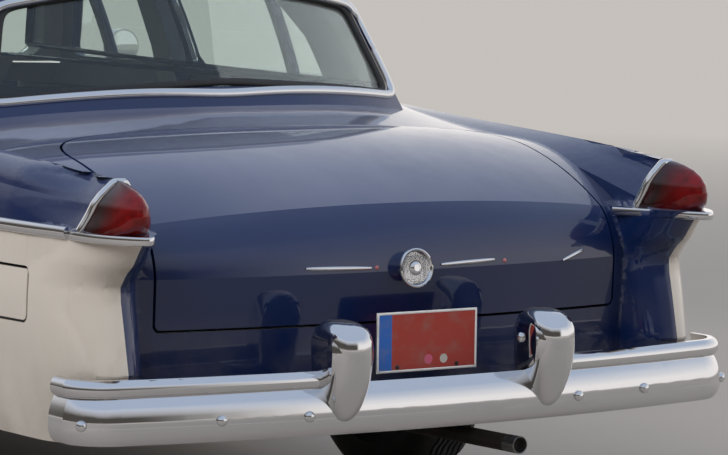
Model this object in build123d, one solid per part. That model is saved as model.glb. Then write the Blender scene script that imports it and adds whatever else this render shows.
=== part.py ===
from build123d import *
import math
import os
from collections import namedtuple

# A full-size four-door saloon of the 1950s, in millimetres. +Z is up, the nose points to -Y and the tail to +Y,
# +X is the car's left side. The origin lies on the ground, in the middle of the car's overall length and width.

# Driving dimensions of the running gear
WHEELBASE = 3099.0
FRONT_AXLE_Y = -1800.0
REAR_AXLE_Y = FRONT_AXLE_Y + WHEELBASE
HALF_TRACK = 768.0
TYRE_R = 355.0
RIM_R = 203.0
HUB_BORE_R = 20.0
STUB_R = 19.94
KINGPIN_X = 690.0

# Heights and thicknesses of the body
SILL_Z = 352.0
WIDE_Z = 640.0
MOULD_Z = 862.0
SKIN = 20.0
DOOR_T = 70.0
LID_T = 24.0
ROOF_T = 32.0
FRAME_T = 34.0
PILLAR_T = 74.0
GLASS_T = 6.0
GAP = 7.0
SEAT = 0.3

# Shut lines, seen from the side
DOOR_FRONT_Y = -830.0
DOOR_MID_Y = 150.0
DOOR_REAR_Y = 1050.0
DOOR_BOTTOM_Z = 420.0
FLOOR_Z = 404.0
FLOOR_T = 16.0
SILL_TOP_Z = DOOR_BOTTOM_Z - GAP
DOOR_TOP_Z = 1425.0
HOOD_REAR_Y = -1060.0
ARCH_R = 412.0
REAR_ARCH_R = 392.0
DOOR_ARCH_R = 452.0

# The body side at each station: how far out the sill, the widest line, the moulding line, the shoulder and the
# ridge lie, with the ridge's and the valley's height. The valley is where hood, glass or deck meets the side.
Side = namedtuple("Side", "y sill_x wide_x mould_x shoulder_x shoulder_z ridge_x ridge_z valley_x valley_z")
SIDE = [
    Side(-2610, 866, 894, 876, 838, 888, 760, 914, 640, 878),
    Side(-2250, 906, 944, 922, 874, 922, 788, 966, 626, 938),
    Side(-1800, 930, 968, 942, 902, 940, 806, 1000, 628, 984),
    Side(-1200, 935, 975, 948, 906, 980, 818, 1052, 640, 1044),
    Side(-700, 936, 978, 950, 896, 1036, 822, 1098, 700, 1102),
    Side(-100, 936, 978, 950, 890, 1056, 822, 1112, 760, 1118),
    Side(500, 936, 978, 950, 892, 1052, 826, 1108, 762, 1116),
    Side(1000, 936, 976, 949, 902, 1030, 838, 1088, 764, 1092),
    Side(1388, 935, 973, 947, 912, 1004, 850, 1060, 766, 1046),
    Side(1900, 932, 964, 941, 914, 968, 851, 1032, 766, 998),
    Side(2250, 925, 948, 932, 912, 944, 850, 1010, 770, 934),
    Side(2470, 910, 926, 916, 908, 926, 849, 992, 774, 880),
    Side(2640, 894, 906, 900, 896, 914, 848, 978, 780, 862),
]
FRONT_ROWS = SIDE[:6]
DOOR_ROWS = SIDE[3:10]
REAR_ROWS = SIDE[6:]

# The cabin above the belt, at each station: half-widths of its foot, of its roof rail and of the edge of its crown
Roof = namedtuple("Roof", "y foot_x rail_x rail_z crown_x crown_z top_z")
ROOF = [
    Roof(-1150, 740, 600, 1330, 480, 1400, 1430),
    Roof(-560, 792, 648, 1420, 520, 1492, 1534),
    Roof(100, 806, 662, 1444, 530, 1534, 1588),
    Roof(700, 806, 660, 1442, 526, 1532, 1586),
    Roof(1250, 792, 636, 1410, 500, 1486, 1534),
    Roof(1750, 770, 600, 1340, 470, 1404, 1440),
]
ROOF_FOOT_Z = 1040.0

# The screens are leaning cylinders: where each crosses the centre line at its foot, its lean and its radius
Screen = namedtuple("Screen", "foot_y foot_z lean radius side")
WINDSCREEN = Screen(-960.0, 1105.0, 45.0, 1650.0, -1)
BACKLIGHT = Screen(1612.0, 1138.0, 31.0, 1490.0, 1)

# Three points of the left rear pillar's outer face: its foot at the rear glass, its foot ahead, its head
REAR_PILLAR = [(655.0, 1464.0, 1100.0), (800.0, 1222.0, 1100.0), (586.0, 1309.0, 1369.0)]

# The rear deck at each station across: points of its outline from the foot of the rear glass over the lid to the sill
Deck = namedtuple("Deck", "x lip_y lip_z lid_y lid_z mid_y mid_z brow_y brow_z face_y face_z edge_y edge_z foot_y")
DECK = [
    Deck(0, 1560, 1150, 1775, 1062, 2130, 1022, 2425, 906, 2494, 742, 2478, 622, 2462),
    Deck(400, 1500, 1130, 1780, 1054, 2125, 1010, 2402, 894, 2470, 742, 2458, 620, 2444),
    Deck(830, 1220, 1076, 1790, 1012, 2105, 962, 2334, 852, 2388, 742, 2386, 616, 2380),
]
DECK_FOOT_Z = 440.0
LID_FRONT_Y = 1792.0
LID_HALF = 690.0
LID_FOOT_Z = 618.0
LID_CORNER_R = 215.0
LID_FOOT_R = 14.0

# The hood at each station across: points of its outline from the cowl over the crown to the nose
Hood = namedtuple("Hood", "x cowl_y cowl_z rear_y rear_z mid_y mid_z brow_y brow_z lip_y lip_z")
HOOD = [
    Hood(0, -780, 1128, -1060, 1108, -1750, 1068, -2380, 960, -2538, 800),
    Hood(340, -780, 1120, -1060, 1098, -1750, 1054, -2364, 944, -2520, 798),
    Hood(650, -780, 1094, -1060, 1056, -1750, 986, -2310, 892, -2450, 792),
]
HOOD_FOOT_Z = 760.0

os.makedirs("parts", exist_ok=True)


def solids_of(*shapes):
    """All solids of the shapes given."""
    return [s for shape in shapes if shape is not None for s in shape.solids()]


def save(node, *shapes):
    """Writes one node's solids to its file."""
    found = solids_of(*shapes)
    export_step(Compound(found), f"parts/{node}.step")


def fuse(first, *others):
    """The shapes as one."""
    made = first
    for other in others:
        made = made + other
    return made


def cut(shape, *tools):
    """The shape without the tools."""
    made = shape
    for tool in tools:
        made = made - tool
    return made


def common(shape, *tools):
    """What the shape shares with every tool."""
    made = shape
    for tool in tools:
        made = made & tool
    return made


def mirrored(shape):
    """The same piece on the car's other side."""
    return mirror(shape, about=Plane.YZ)


def box(x, y, z):
    """A box from its limits along X, Y and Z."""
    size = (x[1] - x[0], y[1] - y[0], z[1] - z[0])
    return Solid.make_box(*size).moved(Location((x[0], y[0], z[0])))


def outline(points, radius=0.0):
    """A flat face with these corners, all rounded by the radius."""
    face = Face(Wire(Polyline(*points, close=True).edges()))
    return face.fillet_2d(radius, face.vertices()) if radius else face


def side_prism(points, x, radius=0.0):
    """A solid with the outline (y, z) seen from the side, between two X limits."""
    face = outline([(x[0], y, z) for y, z in points], radius)
    return Solid.extrude(face, Vector(x[1] - x[0], 0, 0))


def plan_prism(points, z, radius=0.0):
    """A solid with the outline (x, y) seen from above, between two Z limits."""
    face = outline([(x, y, z[0]) for x, y in points], radius)
    return Solid.extrude(face, Vector(0, 0, z[1] - z[0]))


def front_prism(points, y, radius=0.0):
    """A solid with the outline (x, z) seen from the front, between two Y limits."""
    face = outline([(x, y[0], z) for x, z in points], radius)
    return Solid.extrude(face, Vector(0, y[1] - y[0], 0))


def rod(start, end, radius):
    """A round bar between two points."""
    axis = Vector(*end) - Vector(*start)
    return Solid.make_cylinder(radius, axis.length, Plane(origin=start, z_dir=axis))


def ring(centre, axis, outer, inner, length):
    """A tube of this length that starts at centre and runs along axis."""
    plane = Plane(origin=centre, z_dir=axis)
    tube = Solid.make_cylinder(outer, length, plane)
    return tube - Solid.make_cylinder(inner, length, plane)


def turned(points, centre, axis, x_dir):
    """A turned piece: points are (radius, distance along axis)."""
    plane = Plane(origin=centre, x_dir=x_dir, z_dir=axis)
    placed = [plane.from_local_coords((r, 0, h)) for r, h in points]
    return Solid.revolve(outline(placed), 360.0, Axis(centre, axis))


def loft(wires):
    """A smooth solid through closed sections."""
    return Solid.make_loft(wires)


def bow(start, end, rise):
    """An arc from start to end whose middle stands off the chord by rise, to the left of the way in the YZ or XZ plane."""
    way = end - start
    across = Vector(0, -way.Z, way.Y) if abs(way.X) < 1e-6 else Vector(-way.Z, 0, way.X)
    middle = (start + end) * 0.5 + across.normalized() * rise
    return ThreePointArc(start, middle, end).edge()


def side_section(row, inset=0.0, wall=0.0, foot_z=SILL_Z):
    """The body side's closed section: skin from the ridge down to the sill, and its inner wall."""
    def at(x, z):
        return Vector(x, row.y, z)

    ridge = at(row.ridge_x, row.ridge_z - inset)
    shoulder = at(row.shoulder_x - 0.8 * inset, row.shoulder_z - 0.6 * inset)
    mould = at(row.mould_x - inset, MOULD_Z)
    wide = at(row.wide_x - inset, WIDE_Z)
    sill = at(row.sill_x - inset, foot_z)
    inner = at(row.valley_x + wall, foot_z)
    valley = at(row.valley_x + wall, row.valley_z - inset)
    return Wire([
        bow(ridge, shoulder, 14.0),
        bow(shoulder, mould, 5.0),
        ThreePointArc(mould, wide, sill).edge(),
        Line(sill, inner).edge(),
        Line(inner, valley).edge(),
        bow(valley, ridge, 3.0),
    ])


def side_solid(rows, inset=0.0, wall=0.0, foot_z=SILL_Z):
    """The left body side as one solid through its stations."""
    return loft([side_section(row, inset, wall, foot_z) for row in rows])


def roof_section(row, side=0.0, top=0.0):
    """The cabin's closed section, moved inwards by side and down by top."""
    def at(x, z):
        return Vector(x, row.y, z)

    crown = at(row.crown_x - 0.5 * side, row.crown_z - top)
    rail = at(row.rail_x - side, row.rail_z - 0.3 * top)
    foot = at(row.foot_x - side, ROOF_FOOT_Z)
    peak = at(0, row.top_z - top)
    flip = [Vector(-p.X, p.Y, p.Z) for p in (crown, rail, foot)]
    return Wire([
        ThreePointArc(flip[0], peak, crown).edge(),
        bow(crown, rail, 18.0),
        bow(rail, foot, 12.0),
        Line(foot, flip[2]).edge(),
        bow(flip[2], flip[1], 12.0),
        bow(flip[1], flip[0], 18.0),
    ])


def pillar_space(inset):
    """All space inboard of the two leaning rear pillars, moved inwards by inset."""
    (ax, ay, az), (bx, by, bz), (cx, cy, cz) = REAR_PILLAR
    foot = Vector(ax, ay, az)
    out = (Vector(cx, cy, cz) - foot).cross(Vector(bx, by, bz) - foot).normalized()
    reach = 12000.0
    half = Solid.make_box(reach, reach, reach).moved(Location((-reach / 2, -reach / 2, -reach)))
    left = Plane(origin=foot - out * inset, z_dir=out) * half
    return common(left, mirrored(left))


def screen_space(screen, inset):
    """All space behind one screen's surface, moved inwards by inset: a leaning cylinder."""
    lean = math.radians(screen.lean)
    up = Vector(0, -screen.side * math.sin(lean), math.cos(lean))
    out = Vector(0, screen.side * math.cos(lean), math.sin(lean))
    foot = Vector(0, screen.foot_y, screen.foot_z)
    start = foot - out * screen.radius - up * 3000.0
    return Solid.make_cylinder(screen.radius - inset, 6000.0, Plane(origin=start, z_dir=up))


def cabin(side=0.0, top=None):
    """The cabin's outer form, or the same form moved inwards by side and by top."""
    top = side if top is None else top
    body = loft([roof_section(row, side, top) for row in ROOF])
    return common(body, screen_space(WINDSCREEN, side), screen_space(BACKLIGHT, side), pillar_space(side))


def deck_section(row, inset=0.0, low=DECK_FOOT_Z, reach=0.0):
    """The rear deck's closed outline at one station across."""
    def at(y, z):
        return Vector(row.x, y, z)

    lip = at(row.lip_y - 40 - reach, row.lip_z - inset)
    lid = at(row.lid_y, row.lid_z - inset)
    mid = at(row.mid_y, row.mid_z - inset)
    brow = at(row.brow_y - 0.7 * inset, row.brow_z - 0.7 * inset)
    face = at(row.face_y - inset, row.face_z)
    edge = at(row.edge_y - inset, row.edge_z)
    foot = at(row.foot_y - inset, low)
    front = at(row.lip_y - 40 - reach, low)
    return Wire([
        bow(lip, lid, -6.0),
        ThreePointArc(lid, mid, brow).edge(),
        bow(brow, face, 14.0),
        Line(face, edge).edge(),
        Line(edge, foot).edge(),
        Line(foot, front).edge(),
        Line(front, lip).edge(),
    ])


def deck_solid(inset=0.0, low=DECK_FOOT_Z, reach=0.0):
    """The whole rear deck and tail face as one solid."""
    rows = [row._replace(x=-row.x) for row in DECK[:0:-1]] + DECK
    return loft([deck_section(row, inset, low, reach) for row in rows])


def hood_section(row, inset=0.0, low=HOOD_FOOT_Z):
    """The hood's closed outline at one station across."""
    def at(y, z):
        return Vector(row.x, y, z)

    cowl = at(row.cowl_y, row.cowl_z - inset)
    rear = at(row.rear_y, row.rear_z - inset)
    mid = at(row.mid_y, row.mid_z - inset)
    brow = at(row.brow_y + 0.7 * inset, row.brow_z - 0.7 * inset)
    lip = at(row.lip_y + inset, row.lip_z)
    return Wire([
        ThreePointArc(rear, mid, brow).edge(),
        bow(brow, lip, -24.0),
        Line(lip, at(row.lip_y + inset, low)).edge(),
        Line(at(row.lip_y + inset, low), at(row.cowl_y, low)).edge(),
        Line(at(row.cowl_y, low), cowl).edge(),
        bow(cowl, rear, -3.0),
    ])


def hood_solid(inset=0.0, low=HOOD_FOOT_Z):
    """The whole hood, cowl and nose as one solid."""
    rows = [row._replace(x=-row.x) for row in HOOD[:0:-1]] + HOOD
    return loft([hood_section(row, inset, low) for row in rows])


# Doors: the hinge line stands just inside the widest skin, the far edge is turned about that line
Door = namedtuple("Door", "name hinge_y profile window panes front_top")
HINGE_X = 966.0
HINGE_BACK = 36.0
MID_R = DOOR_MID_Y - GAP - DOOR_FRONT_Y - HINGE_BACK
REAR_R = DOOR_REAR_Y - DOOR_MID_Y - HINGE_BACK
DOOR_HINGE_Z = (560.0, 720.0)
PIN_R = 3.0
PIN_HALF = 20.0
PIN_PLAY = 0.05
LEAF_R = 5.0
LEAF_T = 12.0
LEAF_PLAY = 1.0
FRONT_DOOR = Door(
    "front", DOOR_FRONT_Y,
    [(MID_R, DOOR_BOTTOM_Z), (MID_R, DOOR_TOP_Z)],
    [(-560, 1142), (-372, 1392), (88, 1396), (112, 1142)],
    [(-560, -330), (-306, 112)],
    [(-900, 1112), (-640, 1112), (-405, DOOR_TOP_Z + 20), (-900, DOOR_TOP_Z + 20)],
)
REAR_DOOR = Door(
    "rear", DOOR_MID_Y,
    [(REAR_R, DOOR_BOTTOM_Z), (REAR_R, 1118), (REAR_R - 22, 1260), (REAR_R - 150, DOOR_TOP_Z)],
    [(198, 1142), (176, 1396), (770, 1386), (905, 1310), (985, 1142)],
    [(150, 739), (763, 1010)],
    [],
)


def door_space(door, grow=0.0):
    """The room one left door takes up, turned about its hinge line; grow widens it to the opening."""
    low = door.profile[0][1] - grow
    points = [(0, low)] + [(r + grow, z) for r, z in door.profile]
    points[1] = (points[1][0], low)
    points[-1] = (points[-1][0], DOOR_TOP_Z + grow)
    points.append((0, DOOR_TOP_Z + grow))
    centre = (HINGE_X, door.hinge_y + HINGE_BACK, 0)
    room = turned(points, centre, (0, 0, 1), (0, 1, 0))
    room = common(room, box((590 - grow, 1400), (door.hinge_y - grow, 2000), (300, 1500)))
    if door.front_top:
        corner = [(y - grow * (1 if y > -800 else 0), z + grow * (1 if z < 1200 else 0)) for y, z in door.front_top]
        room = cut(room, side_prism(corner, (300, 820)))
    return room


def door_hinges(door, roots):
    """The fixed leaves and pins of one left door; roots is the leaf's outline where it leaves its post."""
    y = door.hinge_y + HINGE_BACK
    made = []
    for z in DOOR_HINGE_Z:
        points = roots[:2] + [(HINGE_X + 3, y - 4), (HINGE_X - 3, y + 4)] + roots[2:]
        made.append(fuse(
            plan_prism(points, (z - LEAF_T / 2, z + LEAF_T / 2)),
            rod((HINGE_X, y, z - LEAF_T / 2), (HINGE_X, y, z + LEAF_T / 2), LEAF_R),
            rod((HINGE_X, y, z - PIN_HALF), (HINGE_X, y, z + PIN_HALF), PIN_R)))
    return made


def hinge_pockets(door):
    """The slots and bores of one left door, which its hinge leaves and pins turn in."""
    y = door.hinge_y + HINGE_BACK
    made = []
    for z in DOOR_HINGE_Z:
        half = LEAF_T / 2 + LEAF_PLAY
        made.append(box((HINGE_X - 90, HINGE_X + LEAF_R + LEAF_PLAY), (door.hinge_y - 2, y + LEAF_R + 3 * LEAF_PLAY),
                        (z - half, z + half)))
        made.append(rod((HINGE_X, y, z - PIN_HALF - LEAF_PLAY), (HINGE_X, y, z + PIN_HALF + LEAF_PLAY),
                        PIN_R + PIN_PLAY))
    return made


LID_HINGE_X = 160.0
LID_HINGE_BACK = 30.0
LID_HINGE_DROP = 12.0


def goose(x, y, z, way):
    """The fixed gooseneck of a lid hinge with its pin; way is 1 where the lid lies behind its hinge, -1 ahead of it."""
    points = [(-72, -9), (-46, -9), (-46, -47), (-10, -47), (-LEAF_R, 0), (LEAF_R, 0), (LEAF_R, -64), (-72, -64)]
    plate = side_prism([(y + way * a, z + b) for a, b in points], (x - LEAF_T / 2, x + LEAF_T / 2))
    return fuse(plate, rod((x - LEAF_T / 2, y, z), (x + LEAF_T / 2, y, z), LEAF_R),
                rod((x - PIN_HALF, y, z), (x + PIN_HALF, y, z), PIN_R))


def goose_pocket(x, y, z, way):
    """The slot and bore in the lid for its gooseneck."""
    half = LEAF_T / 2 + LEAF_PLAY
    ends = sorted((y - way * (LID_HINGE_BACK + 2), y + way * (LEAF_R + LEAF_PLAY)))
    return [box((x - half, x + half), ends, (z - 60, z + LEAF_R + LEAF_PLAY)),
            rod((x - PIN_HALF - LEAF_PLAY, y, z), (x + PIN_HALF + LEAF_PLAY, y, z), PIN_R + PIN_PLAY)]


FLANK = side_solid(DOOR_ROWS)
FLANK_SHELL = cut(FLANK, side_solid(DOOR_ROWS, DOOR_T, -80.0, SILL_Z - 50.0))
CABIN = cabin()
FRAME_SHELL = cut(CABIN, cabin(FRAME_T))
GLASS_SHELL = cut(cabin(12.0), cabin(12.0 + GLASS_T))
ROOF_SHELL = cut(CABIN, cabin(PILLAR_T, ROOF_T))
REAR_ARCH = Solid.make_cylinder(DOOR_ARCH_R, 1200.0, Plane(origin=(300, REAR_AXLE_Y, TYRE_R), z_dir=(1, 0, 0)))
FRONT_ROOM = door_space(FRONT_DOOR, GAP)
REAR_ROOM = cut(door_space(REAR_DOOR, GAP), Solid.make_cylinder(
    DOOR_ARCH_R - GAP, 1200.0, Plane(origin=(300, REAR_AXLE_Y, TYRE_R), z_dir=(1, 0, 0))))
ROOMS = [FRONT_ROOM, REAR_ROOM]
WINDOWS = {d.name: side_prism(d.window, (560, 900), 26.0) for d in (FRONT_DOOR, REAR_DOOR)}


def make_doors():
    """The four doors with their glass."""
    for door in (FRONT_DOOR, REAR_DOOR):
        room = door_space(door)
        if door.name == "rear":
            room = cut(room, FRONT_ROOM)
        above = common(FRAME_SHELL, room, box((300, 1000), (-900, 1100), (1048, 1500)))
        below = common(cut(FLANK_SHELL, CABIN, REAR_ARCH), room)
        window = WINDOWS[door.name]
        left = cut(fuse(below, above), window)
        left = max(left.solids(), key=lambda s: s.volume)
        panes = [common(GLASS_SHELL, window, box((500, 900), span, (1000, 1500))) for span in door.panes]
        bar = (door.panes[0][1], door.panes[1][0])
        divider = common(FRAME_SHELL, window, box((500, 900), bar, (1000, 1500)))
        left = cut(fuse(left, divider), *hinge_pockets(door))
        left = max(left.solids(), key=lambda s: s.volume)
        for side, place in (("left", lambda s: s), ("right", mirrored)):
            save(f"door_{door.name}_{side}", place(left))
            save(f"door_glass_{door.name}_{side}", *[place(p) for p in panes])


# Openings of the two screens, seen from ahead or behind: corner points and the middle of the foot and head lines
Opening = namedtuple("Opening", "foot_x foot_z foot_mid_z head_x head_z head_mid_z y corner")
FRONT_OPENING = Opening(668, 1130, 1140, 560, 1432, 1464, (-1200, -430), 48.0)
REAR_OPENING = Opening(634, 1116, 1156, 556, 1362, 1420, (1100, 1800), 26.0)


def screen_opening(o):
    """The space cut through the cabin for a screen."""
    y = o.y[0]
    foot = [Vector(-o.foot_x, y, o.foot_z), Vector(0, y, o.foot_mid_z), Vector(o.foot_x, y, o.foot_z)]
    head = [Vector(o.head_x, y, o.head_z), Vector(0, y, o.head_mid_z), Vector(-o.head_x, y, o.head_z)]
    wire = Wire([
        ThreePointArc(*foot).edge(),
        Line(foot[2], head[0]).edge(),
        ThreePointArc(*head).edge(),
        Line(head[2], foot[0]).edge(),
    ])
    face = Face(wire).fillet_2d(o.corner, Face(wire).vertices())
    return Solid.extrude(face, Vector(0, o.y[1] - y, 0))


B_PILLAR = [(866, SILL_TOP_Z), (884, 520), (898, 640), (870, 862), (824, 1008), (806, 1030), (742, 1036),
            (700, 1200), (600, 1440), (560, 1440), (650, 1200), (690, 1036), (780, 862), (842, 640), (842, SILL_TOP_Z)]
PILLAR_Y = (96.0, 208.0)


def make_greenhouse():
    """The roof with its pillars, the windscreen and the rear window."""
    front = screen_opening(FRONT_OPENING)
    back = screen_opening(REAR_OPENING)
    shell = cut(ROOF_SHELL, front, back)
    for room in ROOMS:
        shell = cut(shell, room, mirrored(room))
    base = [FLANK, side_solid(REAR_ROWS)]
    for solid in base:
        shell = cut(shell, solid, mirrored(solid))
    shell = cut(shell, deck_solid(), hood_solid())
    shell = max(shell.solids(), key=lambda s: s.volume)
    pillar = front_prism(B_PILLAR, PILLAR_Y)
    y = REAR_DOOR.hinge_y + HINGE_BACK
    leaves = door_hinges(REAR_DOOR, [(876, y - 8), (884, y - 8), (876, y + 8)])
    shell = fuse(shell, pillar, mirrored(pillar), *leaves, *[mirrored(leaf) for leaf in leaves])
    save("roof", shell)
    save("windscreen", common(GLASS_SHELL, front))
    save("rear_window", common(GLASS_SHELL, back))


# Front wings, hood, cowl and nose
ARCH_FRONT = Solid.make_cylinder(ARCH_R, 900.0, Plane(origin=(440, FRONT_AXLE_Y, TYRE_R), z_dir=(1, 0, 0)))
ARCH_BACK = Solid.make_cylinder(REAR_ARCH_R, 700.0, Plane(origin=(600, REAR_AXLE_Y, TYRE_R), z_dir=(1, 0, 0)))
FENDER = cut(side_solid(FRONT_ROWS), box((500, 1100), (DOOR_FRONT_Y - GAP, 0), (300, 1300)))
HEADLAMP = (752.0, -2606.0, 790.0)
HEADLAMP_R = 98.0
NACELLE_R = 114.0
NACELLE = Solid.make_cylinder(NACELLE_R, 200.0, Plane(origin=HEADLAMP, z_dir=(0, 1, 0)))
GRILLE_Z = 630.0
HOOD_HALF_REAR = 634.0
HOOD_HALF_FRONT = 618.0
HOOD_HINGE_Z = HOOD[0].rear_z - LID_HINGE_DROP


def hood_outline(grow=0.0):
    """The hood's plan, from its straight rear edge to beyond the nose."""
    return plan_prism([
        (-HOOD_HALF_REAR - grow, HOOD_REAR_Y + grow), (HOOD_HALF_REAR + grow, HOOD_REAR_Y + grow),
        (HOOD_HALF_FRONT + grow, -2700), (-HOOD_HALF_FRONT - grow, -2700),
    ], (806 - grow, 1300))


STEERING = (370.0, -420.0, 960.0)
COLUMN_LEAN = 62.0
SHAFT_R = 12.0


def column_plane():
    """The plane of the steering wheel, whose Z points at the driver."""
    lean = math.radians(COLUMN_LEAN)
    return Plane(origin=STEERING, x_dir=(1, 0, 0), z_dir=(0, math.sin(lean), math.cos(lean)))


def tunnel_space(wall):
    """The room over the drive shaft, with a wall round it."""
    return box((-104 - wall, 104 + wall), (-1060, 960), (300, 486 + wall))


def wing_tip():
    """The room of a left front wing, rounded in plan and from the side round its headlamp."""
    front, back = HEADLAMP[1], -400.0
    plan = Wire([
        ThreePointArc((932, -2470, 200), (899, -2562, 200), (820, front, 200)).edge(),
        Line((820, front, 200), (690, front, 200)).edge(),
        ThreePointArc((690, front, 200), (652, front + 12, 200), (636, front + 48, 200)).edge(),
        *Polyline((636, front + 48, 200), (600, front + 48, 200), (600, back, 200), (1100, back, 200), (1100, -2470, 200),
                  (932, -2470, 200)).edges(),
    ])
    side = Wire([
        ThreePointArc((500, -2400, 949), (500, -2552, 912), (500, front, 836)).edge(),
        *Polyline((500, front, 836), (500, front, 640), (500, -2570, 500), (500, -2520, 340), (500, -2520, 200),
                  (500, back, 200), (500, back, 1200), (500, -2400, 1200), (500, -2400, 949)).edges(),
    ])
    return common(Solid.extrude(Face(plan), Vector(0, 0, 1000)), Solid.extrude(Face(side), Vector(700, 0, 0)))


def make_front():
    """Front wings, hood, cowl, nose panel, grille and headlamps."""
    inner = side_solid(FRONT_ROWS, SKIN, SKIN, SILL_Z - 50.0)
    hollow = cut(inner, box((500, 1100), (-2700, -2500), (200, 1300)))
    wing = cut(fuse(common(FENDER, wing_tip()), NACELLE), hollow, ARCH_FRONT)
    lamp_hole = Solid.make_cylinder(HEADLAMP_R, 260.0, Plane(origin=HEADLAMP, z_dir=(0, 1, 0)))
    tail = cut(CABIN, box((-900, 900), (-2000, -1000), (900, 1600)))
    foot_room = box((600, 880), (-1040, -800), (300, 1024))
    wing = cut(wing, lamp_hole, tail, foot_room)
    wing = max(wing.solids(), key=lambda s: s.volume)
    save("front_wings", wing, mirrored(wing))

    shell = cut(hood_solid(), hood_solid(LID_T, HOOD_FOOT_Z - 60.0))
    wings = [FENDER, mirrored(FENDER)]
    hood = cut(common(shell, hood_outline()), *wings)
    for x in (-LID_HINGE_X, LID_HINGE_X):
        hood = cut(hood, *goose_pocket(x, HOOD_REAR_Y - LID_HINGE_BACK, HOOD_HINGE_Z, -1))
    hood = max(hood.solids(), key=lambda s: s.volume)
    save("hood", hood)

    cowl = cut(common(shell, box((-900, 900), (HOOD_REAR_Y + GAP, -760), (900, 1300))), *wings)
    doors = door_space(FRONT_DOOR, GAP)
    floor_top = FLOOR_Z + FLOOR_T
    firewall = front_prism([(-640, floor_top), (640, floor_top), (640, 1040), (0, 1090), (-640, 1040)], (-1040, -1012))
    firewall = cut(firewall, tunnel_space(0))
    post = front_prism([(640, floor_top), (860, floor_top), (886, 640), (864, 862), (800, 1024), (640, 1024)],
                       (-1040, -842))
    dash = front_prism([(-690, 840), (690, 840), (690, 1060), (-690, 1060)], (-800, -772))
    post = cut(post, box((600, 836), (-1012, -842), (300, 1000)), wing)
    column = column_plane()
    tube = rod(column.from_local_coords((0, 0, -690)), column.from_local_coords((0, 0, -110)), 26)
    shaft_bore = rod(column.from_local_coords((0, 0, -900)), column.from_local_coords((0, 0, 0)), SHAFT_R + PIN_PLAY)
    cowl = cut(fuse(cowl, firewall, post, mirrored(post), dash, tube), shaft_bore)
    belt = common(FLANK, box((600, 1100), (-1300, 0), (1024, 1300)))
    cowl = cut(cowl, doors, mirrored(doors), belt, mirrored(belt))
    cowl = max(cowl.solids(), key=lambda s: s.volume)
    y = FRONT_DOOR.hinge_y
    leaves = door_hinges(FRONT_DOOR, [(848, y - 20), (874, y - 20), (848, y - 2)])
    geese = [goose(x, HOOD_REAR_Y - LID_HINGE_BACK, HOOD_HINGE_Z, -1) for x in (-LID_HINGE_X, LID_HINGE_X)]
    save("cowl_dash", fuse(cowl, *leaves, *[mirrored(leaf) for leaf in leaves], *geese))

    panel = plan_prism([(-640, -2450), (-340, -2520), (0, -2538), (340, -2520), (640, -2450),
                        (640, -2420), (340, -2490), (0, -2508), (-340, -2490), (-640, -2420)], (444, 798))
    mouth = front_prism([(-590, 520), (590, 520), (590, 740), (-590, 740)], (-2700, -2300), 100.0)
    panel = cut(panel, mouth, *wings, NACELLE, mirrored(NACELLE))
    save("nose_panel", panel)
    plan = [(-600, -2448), (-340, -2521), (0, -2539), (340, -2521), (600, -2448)]
    line = [(x, y + 44) for x, y in plan[::-1]]
    bars = [plan_prism(plan + line, (z - half, z + half)) for z, half in ((706, 8), (GRILLE_Z, 22), (554, 8))]
    teeth = [box((x - 7, x + 7), (-2500, -2478), (546, 714)) for x in range(-540, 541, 120)]
    save("grille", cut(fuse(*bars, *teeth), panel))


FLAP = [(2078.0, 640.0), (2241.0, 640.0), (2241.0, 764.0), (2078.0, 764.0)]
FLAP_T = 8.0
NECK_R = 30.0
LAMP_Y = 2432.0
LAMP_Z = 868.0
BLADE_Z = 848.0
POD_FOOT_X = 600.0
TRAILING_EDGE = [(2604, 840), (2581, 782), (2570, 740), (2571, 700), (2586, 601), (2588, 532)]
POD_FOOT = [(2534, 529), (2486, 430), (2380, 340)]


def lamp_y(z):
    """Where the leaning seat of the tail lamp lies at this height."""
    return LAMP_Y + (z - LAMP_Z) / 3.0


def flap_space(grow):
    """The room of the fuel flap in the left flank; grow widens it to the opening."""
    (y0, z0), (y1, z1) = FLAP[0], FLAP[2]
    points = [(y0 - grow, z0 - grow), (y1 + grow, z0 - grow), (y1 + grow, z1 + grow), (y0 - grow, z1 + grow)]
    return side_prism(points, (840, 1050), 14.0 + grow)


LID_HINGE_Z = 1050.0
FLAP_PIN = (951.8, FLAP[0][0] + 6.0)
FLAP_HINGE_Z = (680.0, 724.0)


def flap_hinges():
    """The two fixed leaves and pins of the fuel flap."""
    x, y = FLAP_PIN
    made = []
    for z in FLAP_HINGE_Z:
        made.append(fuse(
            plan_prism([(942, 2062), (942, 2070), (938, 2080), (x, y - 1.8), (x, y + 1.8), (932, y + 1.8), (932, 2062)],
                       (z - 2.2, z + 2.2)),
            rod((x, y, z - 2.2), (x, y, z + 2.2), 1.8), rod((x, y, z - 8), (x, y, z + 8), 1.2)))
    return made


def neck(radius):
    """The filler neck, from the tank to behind the flap."""
    return rod((480, 2160, 500), (915, 2160, 702), radius)


def trailing_space():
    """The room behind the flank's trailing edge, which is hollowed below the lamp and runs in to the bumper."""
    x = POD_FOOT_X
    top, back, low = 1150.0, 2900.0, 200.0
    corners = [(LAMP_Y, BLADE_Z), (lamp_y(LAMP_Z), LAMP_Z), (lamp_y(top), top), (back, top), (back, low),
               (POD_FOOT[-1][0], low), *POD_FOOT[::-1], TRAILING_EDGE[-1]]
    edge = Spline(*[(x, y, z) for y, z in TRAILING_EDGE])
    lines = Polyline(*[(x, y, z) for y, z in [TRAILING_EDGE[0], (TRAILING_EDGE[0][0], BLADE_Z), *corners]])
    return Solid.extrude(Face(Wire([edge.edge(), *lines.edges()])), Vector(500, 0, 0))


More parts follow.
